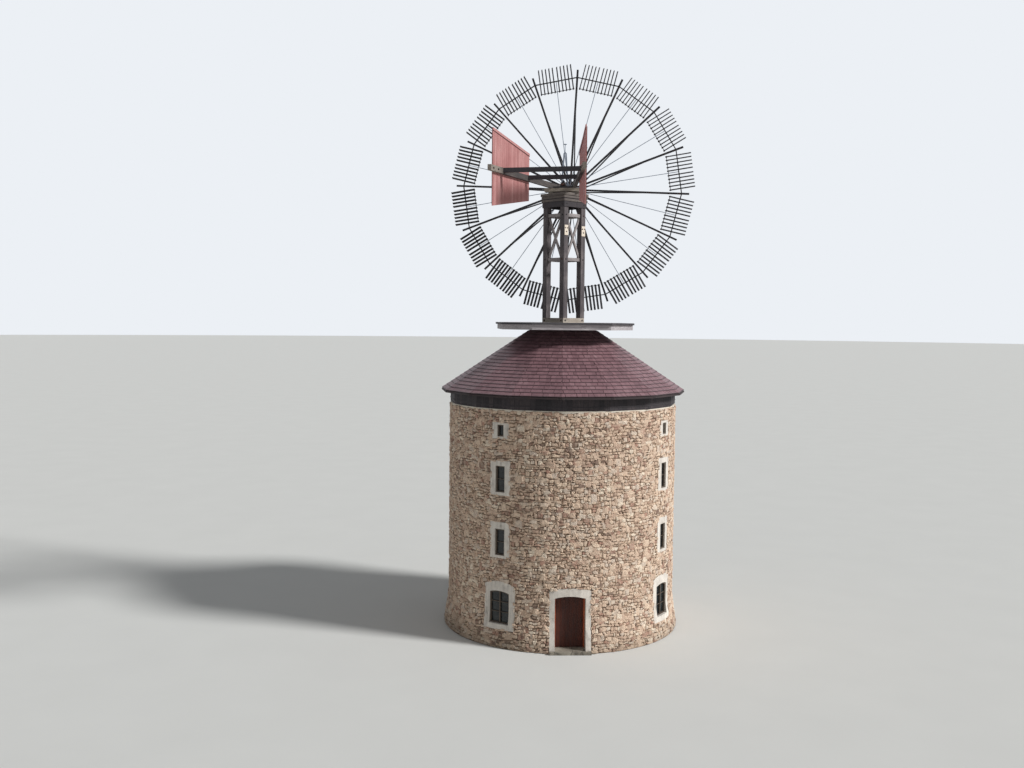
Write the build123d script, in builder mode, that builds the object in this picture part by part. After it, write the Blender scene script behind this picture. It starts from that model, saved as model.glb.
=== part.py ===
from build123d import *
from math import atan2, cos, degrees, radians, sin, sqrt, tan
import os

# Tower windmill: a round rubble-stone tower under a sixteen-sided roof, a timber deck and an open
# trestle above it, and a turning head with a V-shaped tail and a large sixteen-armed wind wheel.
# Millimetres, +Z up, origin on the ground at the tower's axis. The wind wheel looks along +Y.

# Bearings, in degrees counterclockwise from +X
front = -80.1
door_bearing = front + 5
window_bearings = [front - 30 + 90 * turn for turn in range(4)]
deck_bearing = front + 7.3
trestle_bearing = front + 45

# Masonry tower
tower_radius = 4320
base_radius = 4500
flare_height = 1200
wall_top = 8530
ground_inner_radius = 3300
ledge = 100
floor_levels = [100, 2650, 4850, 7000]
floor_thickness = 120
slab_thickness = floor_levels[0]
floor_margin = 20
wall_segments = 8
segment_span = 360 / wall_segments
first_joint = front - 57.5

# Window rows: opening width, sill, head, arch rise, then the surround's width, foot, top and arch rise
window_rows = [
    (820, 830, 2020, 70, 1280, 640, 2370, 160),
    (400, 3300, 4250, 0, 820, 3200, 4500, 0),
    (390, 5570, 6510, 0, 840, 5460, 6700, 0),
    (270, 7560, 7980, 0, 690, 7480, 8060, 0),
]
window_surround_depth = 60
door_surround_depth = 200
surround_proud = 25
frame_member = 45
frame_depth = 60
frame_lead = 30
glass_thickness = 6

# Doorway
door_width = 1090
door_height = 1915
door_rise = 80
door_surround_width = 1480
door_surround_height = 2200
door_surround_rise = 90
step_projection = 100
door_frame_member = 55
door_frame_depth = 80
door_frame_setback = 310
leaf_thickness = 40
leaf_gap = 8
leaf_inset = 5
pin_radius = 8
pin_gap = 1
pin_setback = 20
eye_radius = 18
eye_height = 50
strap_length = 780
strap_thickness = 8
strap_heights = [380, 1380]
bracket_height = 30
bracket_width = 40

# Roof and cornice
roof_sides = 16
eave_radius = 4700
eave_bottom = 8960
eave_edge = 50
roof_top = 11330
roof_top_radius = 1220
roof_shell = 100
cornice_radius = 4340
cornice_width = 290
bead_proud = 25
bead_height = 40
bead_bottom = 8650
curb_width = 170
curb_depth = 300

# Deck
deck_side = 4900
deck_corner = 1000
deck_frame_depth = 190
deck_board = 70
deck_overhang = 80
fascia = 60
joist = 80
joist_spacing = 800
joist_count = 5

# Trestle
post_spacing = 920
post = 220
sill_height = 180
post_top = 16400
rail = 120
lower_rail_height = 14000
upper_rail_height = 15670
brace_width = 80
brace_depth = 50
cap_board = 30
cap_board_bottom = 15970
cap_band = 25
cap_bands = [(16180, 80), (16300, 90)]
top_board = 100
top_overhang = 50
plate_width = 190
plate_height = 380
plate_thickness = 15
plate_bottom = 14900

# Turning head
base_ring_inner = 260
base_ring_outer = 460
base_ring_height = 25
yaw_gap = 0.5
turntable_height = 35
stem_radius = 110
stem_length = 300
stem_clearance = 5
bolster_height = 130
bolster_width = 260
bolster_length = 1400
bolster_places = [-350, 450]
boom_depth = 200
boom_width = 120
boom_spread = 340
boom_slope = 0.231
boom_start = -750
boom_end = 5500
bearing_beam_height = 70
bearing_beam_width = 160
bearing_places = [-350, 560]
bearing_width = 120
bearing_half = 110
bearing_cap = 100
outer_tie_place = 4530
inner_tie_place = 2560
outer_tie = 150
inner_tie = 145

# Tail vanes
vane_start = 2270
vane_end = 5150
vane_start_height = 1700
vane_end_height = 2630
vane_rise = 72
vane_board = 25
batten = 60
batten_thickness = 20
vane_battens = [0.02, 0.5, 0.98]

# Mast over the head
mast_place = 0
mast_foot = 150
mast_shoulder = 18060
mast_shoulder_half = 60
mast_bar = 50
mast_cap = 50
mast_rod = 24
mast_top = 18410
mast_disc = 130
mast_disc_thickness = 24

# Wind wheel
wheel_radius = 4850
hub_height = 16830
wheel_place = 1250
spoke_count = 16
first_spoke = 3
spoke_width = 70
spoke_depth = 70
spoke_reach = 0.96
shaft_radius = 55
shaft_start = -560
shaft_end = 2230
bearing_clearance = 0.5
hub_radius = 330
hub_thickness = 110
nose_radius = 190
nose_place = 2100
nose_thickness = 90
brace_reach = 0.65
wheel_brace = 45
rail_reach = 0.90
wheel_rail = 40
inner_rail_reach = 0.80
inner_rail_shift = 22
inner_rail = 24
slat_count = 5
slat_spacing = 139
slat_gap = 177
slat_inner = 3840
slat_outer = 4830
slat_width = 120
slat_thickness = 22
slat_pitch = 22
rail_overhang = 35
collar_radius = 120
collar_place = 950
collar_thickness = 90
rod = 22

# Sizes that follow from the ones above
half_pitch = 180 / spoke_count
roof_slope = (roof_top - eave_bottom - eave_edge) / (eave_radius - roof_top_radius)
window_seat = tower_radius - window_surround_depth
door_seat = tower_radius - door_surround_depth
skin_reach = base_radius + 2 * surround_proud
frame_face = window_seat + frame_lead
door_frame_back = tower_radius - door_frame_setback - door_frame_depth
deck_top = roof_top + deck_frame_depth + deck_board
sill_top = deck_top + sill_height
post_line = post_spacing / 2
trestle_side = post_spacing + post
trestle_top = post_top + top_board
turntable_bottom = trestle_top + base_ring_height + yaw_gap
turntable_top = turntable_bottom + turntable_height
boom_bottom = turntable_top + bolster_height
boom_top = boom_bottom + boom_depth
boom_axis = boom_bottom + boom_depth / 2
beam_top = boom_bottom + bearing_beam_height
rail_distance = wheel_radius * rail_reach * cos(radians(half_pitch))
inner_rail_distance = wheel_radius * inner_rail_reach
slat_reach = slat_gap / 2 + slat_spacing * (slat_count - 1)

os.makedirs("parts", exist_ok=True)


# Upright plane facing outward at a bearing, its local x running counterclockwise round the tower
def facing(bearing, distance, height):
    outward = Vector(1, 0, 0).rotate(Axis.Z, bearing)
    return Plane(outward * distance + Vector(0, 0, height), outward.rotate(Axis.Z, 90), outward)


# Upright plane through the tower's axis, its local x pointing outward at the bearing
def radial(bearing):
    outward = Vector(1, 0, 0).rotate(Axis.Z, bearing)
    return Plane((0, 0, 0), outward, outward.rotate(Axis.Z, -90))


# Level plane turned so that its local x points at the bearing
def level(height, bearing=0):
    return Plane((0, 0, height), Vector(1, 0, 0).rotate(Axis.Z, bearing), (0, 0, 1))


# Plane across the wind wheel's axis, its local y pointing along the spoke at the angle
def across_wheel(angle, place):
    return Plane(
        (0, place, hub_height), (cos(radians(angle)), 0, -sin(radians(angle))), (0, -1, 0)
    )


# Plane through the wind wheel's axis, its local x along the spoke and its local y along the axis
def along_wheel(angle):
    outward = (sin(radians(angle)), 0, cos(radians(angle)))
    sideways = (-cos(radians(angle)), 0, sin(radians(angle)))
    return Plane((0, 0, hub_height), outward, sideways)


# Closed outline through the points, on the plane
def outline(plane, points):
    with BuildSketch(plane) as shape:
        with BuildLine():
            Polyline(*points, close=True)
        make_face()
    return shape.sketch


# Upright outline standing on the plane's origin, its head arched by the rise
def arched(plane, width, height, rise):
    with BuildSketch(plane) as shape:
        if rise:
            with BuildLine():
                Polyline(
                    (width / 2, height - rise), (width / 2, 0), (-width / 2, 0), (-width / 2, height - rise)
                )
                ThreePointArc((-width / 2, height - rise), (0, height), (width / 2, height - rise))
            make_face()
        else:
            Rectangle(width, height, align=(Align.CENTER, Align.MIN))
    return shape.sketch


# Half profile of the masonry, its inner face stepping back by a ledge at each floor
def wall_profile(plane):
    points = [(base_radius, 0), (tower_radius, flare_height), (tower_radius, wall_top)]
    radius = ground_inner_radius + ledge * (len(floor_levels) - 1)
    points.append((radius, wall_top))
    for floor_level in reversed(floor_levels[1:]):
        points.append((radius, floor_level - floor_thickness))
        radius -= ledge
        points.append((radius, floor_level - floor_thickness))
    points.append((radius, slab_thickness))
    points.append((radius + ledge, slab_thickness))
    points.append((radius + ledge, 0))
    return outline(plane, points)


# Half profile of everything inside the masonry's outer face, moved out by the amount
def skin_profile(plane, proud):
    return outline(
        plane,
        [
            (0, 0),
            (base_radius + proud, 0),
            (tower_radius + proud, flare_height),
            (tower_radius + proud, wall_top),
            (0, wall_top),
        ],
    )


# Radius to the corners of the roof's surface at a height, or of one lying lower by the depth
def roof_radius(height, depth=0):
    return roof_top_radius + (roof_top - depth - height) / roof_slope


# Cuts one column of windows, with the seats of their surrounds
def cut_windows(bearing):
    for width, sill, head, rise, outer_width, foot, top, outer_rise in window_rows:
        seat = arched(facing(bearing, window_seat, foot), outer_width, top - foot, outer_rise)
        extrude(seat, skin_reach - window_seat, mode=Mode.SUBTRACT)
        opening = arched(facing(bearing, 0, sill), width, head - sill, rise)
        extrude(opening, skin_reach, mode=Mode.SUBTRACT)


# Stone walls between the doorway and the windows
wall_names = [
    "wall_window_front",
    "wall_door",
    "wall_window_right",
    "wall_plain_right",
    "wall_window_back",
    "wall_plain_back",
    "wall_window_left",
    "wall_plain_left",
]
for number, wall_name in enumerate(wall_names):
    if wall_name == "wall_door":
        continue
    start = first_joint + number * segment_span
    with BuildPart() as wall:
        revolve(wall_profile(radial(start)), Axis.Z, segment_span)
        if number % 2 == 0:
            cut_windows(window_bearings[number // 2])
    wall.part.label = wall_name
    export_step(wall.part, f"parts/{wall_name}.step")

# Stone walls beside and over the doorway, its passage square-headed behind the door frame
door_start = first_joint + segment_span
door_side = door_width / 2
door_pieces = {
    "wall_beside_door_left": (-skin_reach, -door_side),
    "wall_over_door": (-door_side, door_side),
    "wall_beside_door_right": (door_side, skin_reach),
}
for wall_name, (left, right) in door_pieces.items():
    with BuildPart() as wall:
        revolve(wall_profile(radial(door_start)), Axis.Z, segment_span)
        with BuildSketch(level(0, door_bearing)):
            with Locations((0, (left + right) / 2)):
                Rectangle(skin_reach, right - left, align=(Align.MIN, Align.CENTER))
        extrude(amount=wall_top, mode=Mode.INTERSECT)
        seat = arched(
            facing(door_bearing, door_seat, 0),
            door_surround_width,
            slab_thickness + door_surround_height,
            door_surround_rise,
        )
        extrude(seat, skin_reach - door_seat, mode=Mode.SUBTRACT)
        doorway_plane = facing(door_bearing, 0, 0)
        passage = arched(doorway_plane, door_width, slab_thickness + door_height, door_rise)
        extrude(passage, skin_reach, mode=Mode.SUBTRACT)
        square_passage = arched(doorway_plane, door_width, slab_thickness + door_height, 0)
        extrude(square_passage, door_frame_back, mode=Mode.SUBTRACT)
    wall.part.label = wall_name
    export_step(wall.part, f"parts/{wall_name}.step")

# Ground slab, tucked under the wall's foot
with BuildPart() as ground_floor:
    with BuildSketch():
        Circle(ground_inner_radius + ledge - floor_margin)
    extrude(amount=slab_thickness)
ground_floor.part.label = "ground_floor"
export_step(ground_floor.part, "parts/ground_floor.step")

# Upper floors, each resting on the ledge of the wall below it
for number, floor_name in enumerate(["first_floor", "second_floor", "third_floor"], start=1):
    with BuildPart() as upper_floor:
        with BuildSketch(level(floor_levels[number] - floor_thickness)):
            Circle(ground_inner_radius + ledge * number - floor_margin)
        extrude(amount=floor_thickness)
    upper_floor.part.label = floor_name
    export_step(upper_floor.part, f"parts/{floor_name}.step")

# Window surrounds, curved with the wall and standing a little proud of it
with BuildPart() as window_surrounds:
    for bearing in window_bearings:
        for width, sill, head, rise, outer_width, foot, top, outer_rise in window_rows:
            with BuildSketch(facing(bearing, window_seat, 0)) as surround:
                with Locations((0, foot)):
                    add(arched(Plane.XY, outer_width, top - foot, outer_rise))
                with Locations((0, sill)):
                    add(arched(Plane.XY, width, head - sill, rise), mode=Mode.SUBTRACT)
            extrude(surround.sketch, skin_reach - window_seat)
    revolve(skin_profile(radial(0), surround_proud), Axis.Z, mode=Mode.INTERSECT)
window_surrounds.part.label = "window_surrounds"
export_step(window_surrounds.part, "parts/window_surrounds.step")

# Window frames: a casement with a mullion in the ground row, one light above it
with BuildPart() as window_frames:
    for bearing in window_bearings:
        for width, sill, head, rise, *_ in window_rows:
            with BuildSketch(facing(bearing, frame_face - frame_depth, sill)) as casement:
                add(arched(Plane.XY, width, head - sill, rise))
                with Locations((0, frame_member)):
                    light = arched(
                        Plane.XY, width - 2 * frame_member, head - sill - 2 * frame_member, rise
                    )
                    add(light, mode=Mode.SUBTRACT)
                if rise:
                    Rectangle(frame_member, head - sill - frame_member, align=(Align.CENTER, Align.MIN))
            extrude(casement.sketch, frame_depth)
window_frames.part.label = "window_frames"
export_step(window_frames.part, "parts/window_frames.step")

# Window panes, bedded against the inside of their frames
with BuildPart() as window_glass:
    for bearing in window_bearings:
        for width, sill, head, rise, *_ in window_rows:
            pane_face = frame_face - frame_depth
            pane = arched(facing(bearing, pane_face - glass_thickness, sill), width, head - sill, rise)
            extrude(pane, glass_thickness)
window_glass.part.label = "window_glass"
export_step(window_glass.part, "parts/window_glass.step")

# Door threshold, one stone under the doorway and its jambs
with BuildPart() as threshold:
    with BuildSketch(level(0, door_bearing)):
        Rectangle(door_seat, door_width, align=(Align.MIN, Align.CENTER))
        with Locations((door_seat, 0)):
            Rectangle(
                base_radius + step_projection - door_seat,
                door_surround_width,
                align=(Align.MIN, Align.CENTER),
            )
        Circle(ground_inner_radius + ledge, mode=Mode.SUBTRACT)
    extrude(amount=slab_thickness)
threshold.part.label = "threshold"
export_step(threshold.part, "parts/threshold.step")

# Door jambs and arched head
springing = door_height - door_rise
door_stones = {
    "door_jambs": (0, springing),
    "door_head": (springing, door_surround_height),
}
for stone_name, (low, high) in door_stones.items():
    with BuildPart() as stones:
        with BuildSketch(facing(door_bearing, door_seat, slab_thickness)) as surround:
            add(arched(Plane.XY, door_surround_width, door_surround_height, door_surround_rise))
            add(arched(Plane.XY, door_width, door_height, door_rise), mode=Mode.SUBTRACT)
            with Locations((0, (low + high) / 2)):
                Rectangle(door_surround_width, high - low, mode=Mode.INTERSECT)
        extrude(surround.sketch, skin_reach - door_seat)
        revolve(skin_profile(radial(0), surround_proud), Axis.Z, mode=Mode.INTERSECT)
    stones.part.label = stone_name
    export_step(stones.part, f"parts/{stone_name}.step")

# Door frame
leaf_width = door_width - 2 * door_frame_member
leaf_height = door_height - door_frame_member
with BuildPart() as door_frame:
    with BuildSketch(facing(door_bearing, door_frame_back, slab_thickness)) as profile:
        add(arched(Plane.XY, door_width, door_height, door_rise))
        add(arched(Plane.XY, leaf_width, leaf_height, door_rise), mode=Mode.SUBTRACT)
    extrude(profile.sketch, door_frame_depth)
door_frame.part.label = "door_frame"
export_step(door_frame.part, "parts/door_frame.step")

# Door leaf, hung inside its frame
with BuildPart() as door_leaf:
    leaf_plane = facing(door_bearing, door_frame_back + leaf_inset, slab_thickness + leaf_gap)
    leaf = arched(leaf_plane, leaf_width - 2 * leaf_gap, leaf_height - 2 * leaf_gap, door_rise)
    extrude(leaf, leaf_thickness)
door_leaf.part.label = "door_leaf"
export_step(door_leaf.part, "parts/door_leaf.step")

# Door straps, their eyes turning on the pintles
pin_place = (door_frame_back - pin_setback, -leaf_width / 2)
leaf_back = door_frame_back + leaf_inset
with BuildPart() as door_straps:
    for strap_height in strap_heights:
        with BuildSketch(level(slab_thickness + strap_height, door_bearing)):
            with Locations(pin_place):
                Circle(eye_radius)
            with Locations((leaf_back, pin_place[1])):
                Rectangle(strap_thickness, strap_length, align=(Align.MAX, Align.MIN))
                Rectangle(eye_radius, eye_radius, align=(Align.MAX, Align.MIN))
            with Locations(pin_place):
                Circle(pin_radius + pin_gap, mode=Mode.SUBTRACT)
        extrude(amount=eye_height)
door_straps.part.label = "door_straps"
export_step(door_straps.part, "parts/door_straps.step")

# Pintles on the door frame
with BuildPart() as door_pintles:
    for strap_height in strap_heights:
        bracket_top = slab_thickness + strap_height - pin_gap
        with BuildSketch(level(bracket_top - bracket_height, door_bearing)):
            with Locations((door_frame_back, pin_place[1] + pin_radius)):
                Rectangle(pin_setback + pin_radius, bracket_width, align=(Align.MAX, Align.MAX))
        extrude(amount=bracket_height)
        with BuildSketch(level(bracket_top, door_bearing)):
            with Locations(pin_place):
                Circle(pin_radius)
        extrude(amount=eye_height + pin_gap)
door_pintles.part.label = "door_pintles"
export_step(door_pintles.part, "parts/door_pintles.step")

# Timber cornice between the masonry and the eaves, with a bead round it
cornice_inner = cornice_radius - cornice_width
cornice_top = roof_top - roof_shell - roof_slope * (cornice_inner - roof_top_radius)
with BuildPart() as cornice:
    with BuildSketch(level(wall_top)):
        RegularPolygon(cornice_radius, roof_sides, rotation=front)
        RegularPolygon(cornice_inner, roof_sides, rotation=front, mode=Mode.SUBTRACT)
    extrude(amount=cornice_top - wall_top)
    with BuildSketch(level(bead_bottom)):
        RegularPolygon(cornice_radius + bead_proud, roof_sides, rotation=front)
        RegularPolygon(cornice_inner, roof_sides, rotation=front, mode=Mode.SUBTRACT)
    extrude(amount=bead_height)
    for height in (wall_top, cornice_top):
        with BuildSketch(level(height)):
            RegularPolygon(roof_radius(height, roof_shell), roof_sides, rotation=front)
    loft(mode=Mode.INTERSECT)
cornice.part.label = "cornice"
export_step(cornice.part, "parts/cornice.step")

# Roof, in four quarters that meet along the hips
for number, roof_name in enumerate(
    ["roof_front_right", "roof_back_right", "roof_back_left", "roof_front_left"]
):
    with BuildPart() as roof:
        with BuildSketch(level(eave_bottom)):
            RegularPolygon(eave_radius, roof_sides, rotation=front)
        extrude(amount=eave_edge)
        for height in (eave_bottom + eave_edge, roof_top):
            with BuildSketch(level(height)):
                RegularPolygon(roof_radius(height), roof_sides, rotation=front)
        loft()
        for height in (eave_bottom, roof_top):
            with BuildSketch(level(height)):
                RegularPolygon(roof_radius(height, roof_shell), roof_sides, rotation=front)
        loft(mode=Mode.SUBTRACT)
        with BuildSketch(level(eave_bottom, front + 90 * number)):
            Rectangle(eave_radius, eave_radius, align=(Align.MIN, Align.MIN))
        extrude(amount=roof_top - eave_bottom, mode=Mode.INTERSECT)
    roof.part.label = roof_name
    export_step(roof.part, f"parts/{roof_name}.step")

# Curb inside the top of the roof, carrying the deck
with BuildPart() as roof_curb:
    for height in (roof_top - curb_depth, roof_top):
        with BuildSketch(level(height)):
            RegularPolygon(roof_radius(height, roof_shell), roof_sides, rotation=front)
    loft()
    with BuildSketch(level(roof_top)):
        RegularPolygon(
            roof_radius(roof_top, roof_shell) - curb_width, roof_sides, rotation=front
        )
    extrude(amount=-curb_depth, mode=Mode.SUBTRACT)
roof_curb.part.label = "roof_curb"
export_step(roof_curb.part, "parts/roof_curb.step")

# Deck frame: a fascia round the cut-cornered square, with joists across it
with BuildPart() as deck_frame:
    with BuildSketch(level(roof_top, deck_bearing)) as frame_plan:
        Rectangle(deck_side, deck_side)
        chamfer(frame_plan.vertices(), deck_corner)
        offset(amount=-fascia, kind=Kind.INTERSECTION, mode=Mode.SUBTRACT)
    extrude(frame_plan.sketch, deck_frame_depth)
    with BuildSketch(level(roof_top, deck_bearing)) as joist_plan:
        with GridLocations(0, joist_spacing, 1, joist_count):
            Rectangle(deck_side, joist)
        with BuildSketch(level(roof_top, deck_bearing), mode=Mode.INTERSECT) as inner_plan:
            Rectangle(deck_side - fascia, deck_side - fascia)
            chamfer(inner_plan.vertices(), deck_corner)
    extrude(joist_plan.sketch, deck_frame_depth)
deck_frame.part.label = "deck_frame"
export_step(deck_frame.part, "parts/deck_frame.step")

# Deck boards, overhanging the fascia
with BuildPart() as deck_boards:
    with BuildSketch(level(roof_top + deck_frame_depth, deck_bearing)) as board_plan:
        Rectangle(deck_side, deck_side)
        chamfer(board_plan.vertices(), deck_corner)
        offset(amount=deck_overhang, kind=Kind.INTERSECTION)
    extrude(amount=deck_board)
deck_boards.part.label = "deck_boards"
export_step(deck_boards.part, "parts/deck_boards.step")

# Trestle sills, a square of timbers on the deck
with BuildPart() as trestle_sills:
    with BuildSketch(level(deck_top, trestle_bearing)):
        Rectangle(trestle_side, trestle_side)
        Rectangle(post_spacing - post, post_spacing - post, mode=Mode.SUBTRACT)
    extrude(amount=sill_height)
trestle_sills.part.label = "trestle_sills"
export_step(trestle_sills.part, "parts/trestle_sills.step")

# Trestle posts
with BuildPart() as trestle_posts:
    with BuildSketch(level(sill_top, trestle_bearing)):
        with GridLocations(post_spacing, post_spacing, 2, 2):
            Rectangle(post, post)
    extrude(amount=post_top - sill_top)
trestle_posts.part.label = "trestle_posts"
export_step(trestle_posts.part, "parts/trestle_posts.step")

# Rails between the posts, at two heights
for rail_name, rail_height in (("lower_rails", lower_rail_height), ("upper_rails", upper_rail_height)):
    with BuildPart() as rails:
        with BuildSketch(level(rail_height - rail / 2, trestle_bearing)):
            with PolarLocations(post_line, 4):
                Rectangle(rail, post_spacing - post)
        extrude(amount=rail)
    rails.part.label = rail_name
    export_step(rails.part, f"parts/{rail_name}.step")

# Crossed braces between the rails, on each side of the trestle
bay_width = post_spacing - post
bay_height = upper_rail_height - lower_rail_height - rail
bay_middle = (upper_rail_height + lower_rail_height) / 2
brace_tilt = degrees(atan2(bay_height, bay_width))
with BuildPart() as trestle_braces:
    for side in range(4):
        side_plane = facing(trestle_bearing + 90 * side, post_line - brace_depth / 2, bay_middle)
        with BuildSketch(side_plane) as crossing:
            for tilt in (brace_tilt, -brace_tilt):
                Rectangle(bay_height + bay_width, brace_width, rotation=tilt)
            Rectangle(bay_width, bay_height, mode=Mode.INTERSECT)
        extrude(crossing.sketch, brace_depth)
trestle_braces.part.label = "trestle_braces"
export_step(trestle_braces.part, "parts/trestle_braces.step")

# Boards that close the head of the trestle, and the bands round them
with BuildPart() as cap_boards:
    with BuildSketch(level(cap_board_bottom, trestle_bearing)):
        Rectangle(trestle_side + 2 * cap_board, trestle_side + 2 * cap_board)
        Rectangle(trestle_side, trestle_side, mode=Mode.SUBTRACT)
    extrude(amount=post_top - cap_board_bottom)
cap_boards.part.label = "cap_boards"
export_step(cap_boards.part, "parts/cap_boards.step")

with BuildPart() as cap_rails:
    for band_bottom, band_height in cap_bands:
        with BuildSketch(level(band_bottom, trestle_bearing)):
            Rectangle(trestle_side + 2 * (cap_board + cap_band), trestle_side + 2 * (cap_board + cap_band))
            Rectangle(trestle_side + 2 * cap_board, trestle_side + 2 * cap_board, mode=Mode.SUBTRACT)
        extrude(amount=band_height)
cap_rails.part.label = "cap_rails"
export_step(cap_rails.part, "parts/cap_rails.step")

# Splice plates on the outer faces of the posts, on two opposite sides
with BuildPart() as splice_plates:
    for side in (0, 2):
        plate_plane = facing(trestle_bearing + 90 * side, trestle_side / 2, plate_bottom)
        with BuildSketch(plate_plane) as plates:
            for place in (-post_line, post_line):
                with Locations((place, 0)):
                    Rectangle(plate_width, plate_height, align=(Align.CENTER, Align.MIN))
        extrude(plates.sketch, plate_thickness)
splice_plates.part.label = "splice_plates"
export_step(splice_plates.part, "parts/splice_plates.step")

# Platform on the posts, with the hole that the head's stem turns in
with BuildPart() as trestle_platform:
    with BuildSketch(level(post_top, trestle_bearing)):
        platform_side = trestle_side + 2 * (cap_board + top_overhang)
        Rectangle(platform_side, platform_side)
        Circle(stem_radius + stem_clearance, mode=Mode.SUBTRACT)
    extrude(amount=top_board)
trestle_platform.part.label = "trestle_platform"
export_step(trestle_platform.part, "parts/trestle_platform.step")

# Fixed ring that the head turns on
with BuildPart() as base_ring:
    with BuildSketch(level(trestle_top)):
        Circle(base_ring_outer)
        Circle(base_ring_inner, mode=Mode.SUBTRACT)
    extrude(amount=base_ring_height)
base_ring.part.label = "base_ring"
export_step(base_ring.part, "parts/base_ring.step")

# Turntable with the stem below it
with BuildPart() as turntable:
    with BuildSketch(level(turntable_bottom)):
        Circle(base_ring_outer)
    extrude(amount=turntable_height)
    with BuildSketch(level(turntable_bottom)):
        Circle(stem_radius)
    extrude(amount=-stem_length)
turntable.part.label = "turntable"
export_step(turntable.part, "parts/turntable.step")

# Bolsters across the turntable, carrying the booms
with BuildPart() as bolsters:
    with BuildSketch(level(turntable_top)):
        for place in bolster_places:
            with Locations((0, place)):
                Rectangle(bolster_length, bolster_width)
    extrude(amount=bolster_height)
bolsters.part.label = "bolsters"
export_step(bolsters.part, "parts/bolsters.step")


# Distance from the tail's axis to a boom's middle, at a distance back from the yaw axis
def boom_offset(back):
    return boom_spread + boom_slope * back


# Half the width of a boom, measured across the tail's axis
boom_half = boom_width / 2 * sqrt(1 + boom_slope**2)


# Outline between two distances back, its sides following the booms at an offset from their middles
def between_booms(height, start, end, inset):
    left_start = boom_offset(start) + inset
    left_end = boom_offset(end) + inset
    return outline(
        level(height),
        [(-left_start, -start), (left_start, -start), (left_end, -end), (-left_end, -end)],
    )


# Tail booms, spreading from ahead of the yaw axis to the tips of the tail
with BuildPart() as booms:
    for hand in (-1, 1):
        boom = outline(
            level(boom_bottom),
            [
                (hand * (boom_offset(place) + side * boom_half), -place)
                for place, side in ((boom_start, -1), (boom_start, 1), (boom_end, 1), (boom_end, -1))
            ],
        )
        extrude(boom, boom_depth)
booms.part.label = "booms"
export_step(booms.part, "parts/booms.step")

# Tie beams between the booms
with BuildPart() as tie_beams:
    for place, size in ((outer_tie_place, outer_tie), (inner_tie_place, inner_tie)):
        tie = between_booms(boom_top - size, place - size / 2, place + size / 2, -boom_half)
        extrude(tie, size)
tie_beams.part.label = "tie_beams"
export_step(tie_beams.part, "parts/tie_beams.step")

# Cross beams under the wind shaft's bearings and the mast
with BuildPart() as bearing_beams:
    for place in (*bearing_places, mast_place):
        half_beam = bearing_beam_width / 2
        beam = between_booms(boom_bottom, -place - half_beam, -place + half_beam, -boom_half)
        extrude(beam, bearing_beam_height)
bearing_beams.part.label = "bearing_beams"
export_step(bearing_beams.part, "parts/bearing_beams.step")

# Bearings of the wind shaft
with BuildPart() as shaft_bearings:
    for place in bearing_places:
        housing_plane = Plane((0, place + bearing_width / 2, hub_height), (1, 0, 0), (0, -1, 0))
        with BuildSketch(housing_plane) as housing:
            Circle(bearing_cap)
            with Locations((0, 0)):
                Rectangle(2 * bearing_half, hub_height - beam_top, align=(Align.CENTER, Align.MAX))
            with Locations((0, beam_top - hub_height)):
                Rectangle(
                    2 * bearing_half, 2 * bearing_cap, align=(Align.CENTER, Align.MIN), mode=Mode.INTERSECT
                )
            Circle(shaft_radius + bearing_clearance, mode=Mode.SUBTRACT)
        extrude(housing.sketch, bearing_width)
shaft_bearings.part.label = "shaft_bearings"
export_step(shaft_bearings.part, "parts/shaft_bearings.step")

# Tail vanes, boarded on the outer side of each boom and deeper towards the tip
vane_names = {-1: "vane_left", 1: "vane_right"}
boom_reach = sqrt(1 + boom_slope**2)


# Upright plane on the outer side of a boom, its local x running back along the boom
def boom_side(hand):
    back = Vector(hand * boom_slope, -1, 0).normalized()
    outward = Vector(hand, boom_slope, 0).normalized()
    origin = Vector(hand * boom_offset(0), 0, boom_axis + vane_rise) + outward * (boom_width / 2)
    return Plane(origin, back, back.cross(Vector(0, 0, 1)))


# Half the vane's height at a distance back from the yaw axis
def vane_half(place):
    share = (place - vane_start) / (vane_end - vane_start)
    return (vane_start_height + (vane_end_height - vane_start_height) * share) / 2


for hand, vane_name in vane_names.items():
    with BuildPart() as vane:
        corners = [
            (place * boom_reach, side * vane_half(place))
            for place, side in ((vane_start, -1), (vane_end, -1), (vane_end, 1), (vane_start, 1))
        ]
        boards = outline(boom_side(hand), corners)
        extrude(boards, vane_board * -hand)
    vane.part.label = vane_name
    export_step(vane.part, f"parts/{vane_name}.step")

# Battens nailed outside the vane boards
with BuildPart() as vane_battens_part:
    for hand in (-1, 1):
        plane = boom_side(hand).offset(vane_board * -hand)
        for share in vane_battens:
            place = vane_start + (vane_end - vane_start) * share
            half = vane_half(place) - batten
            strip = outline(
                plane,
                [
                    (place * boom_reach - batten / 2, -half),
                    (place * boom_reach + batten / 2, -half),
                    (place * boom_reach + batten / 2, half),
                    (place * boom_reach - batten / 2, half),
                ],
            )
            extrude(strip, batten_thickness * -hand)
vane_battens_part.part.label = "vane_battens"
export_step(vane_battens_part.part, "parts/vane_battens.step")

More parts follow.
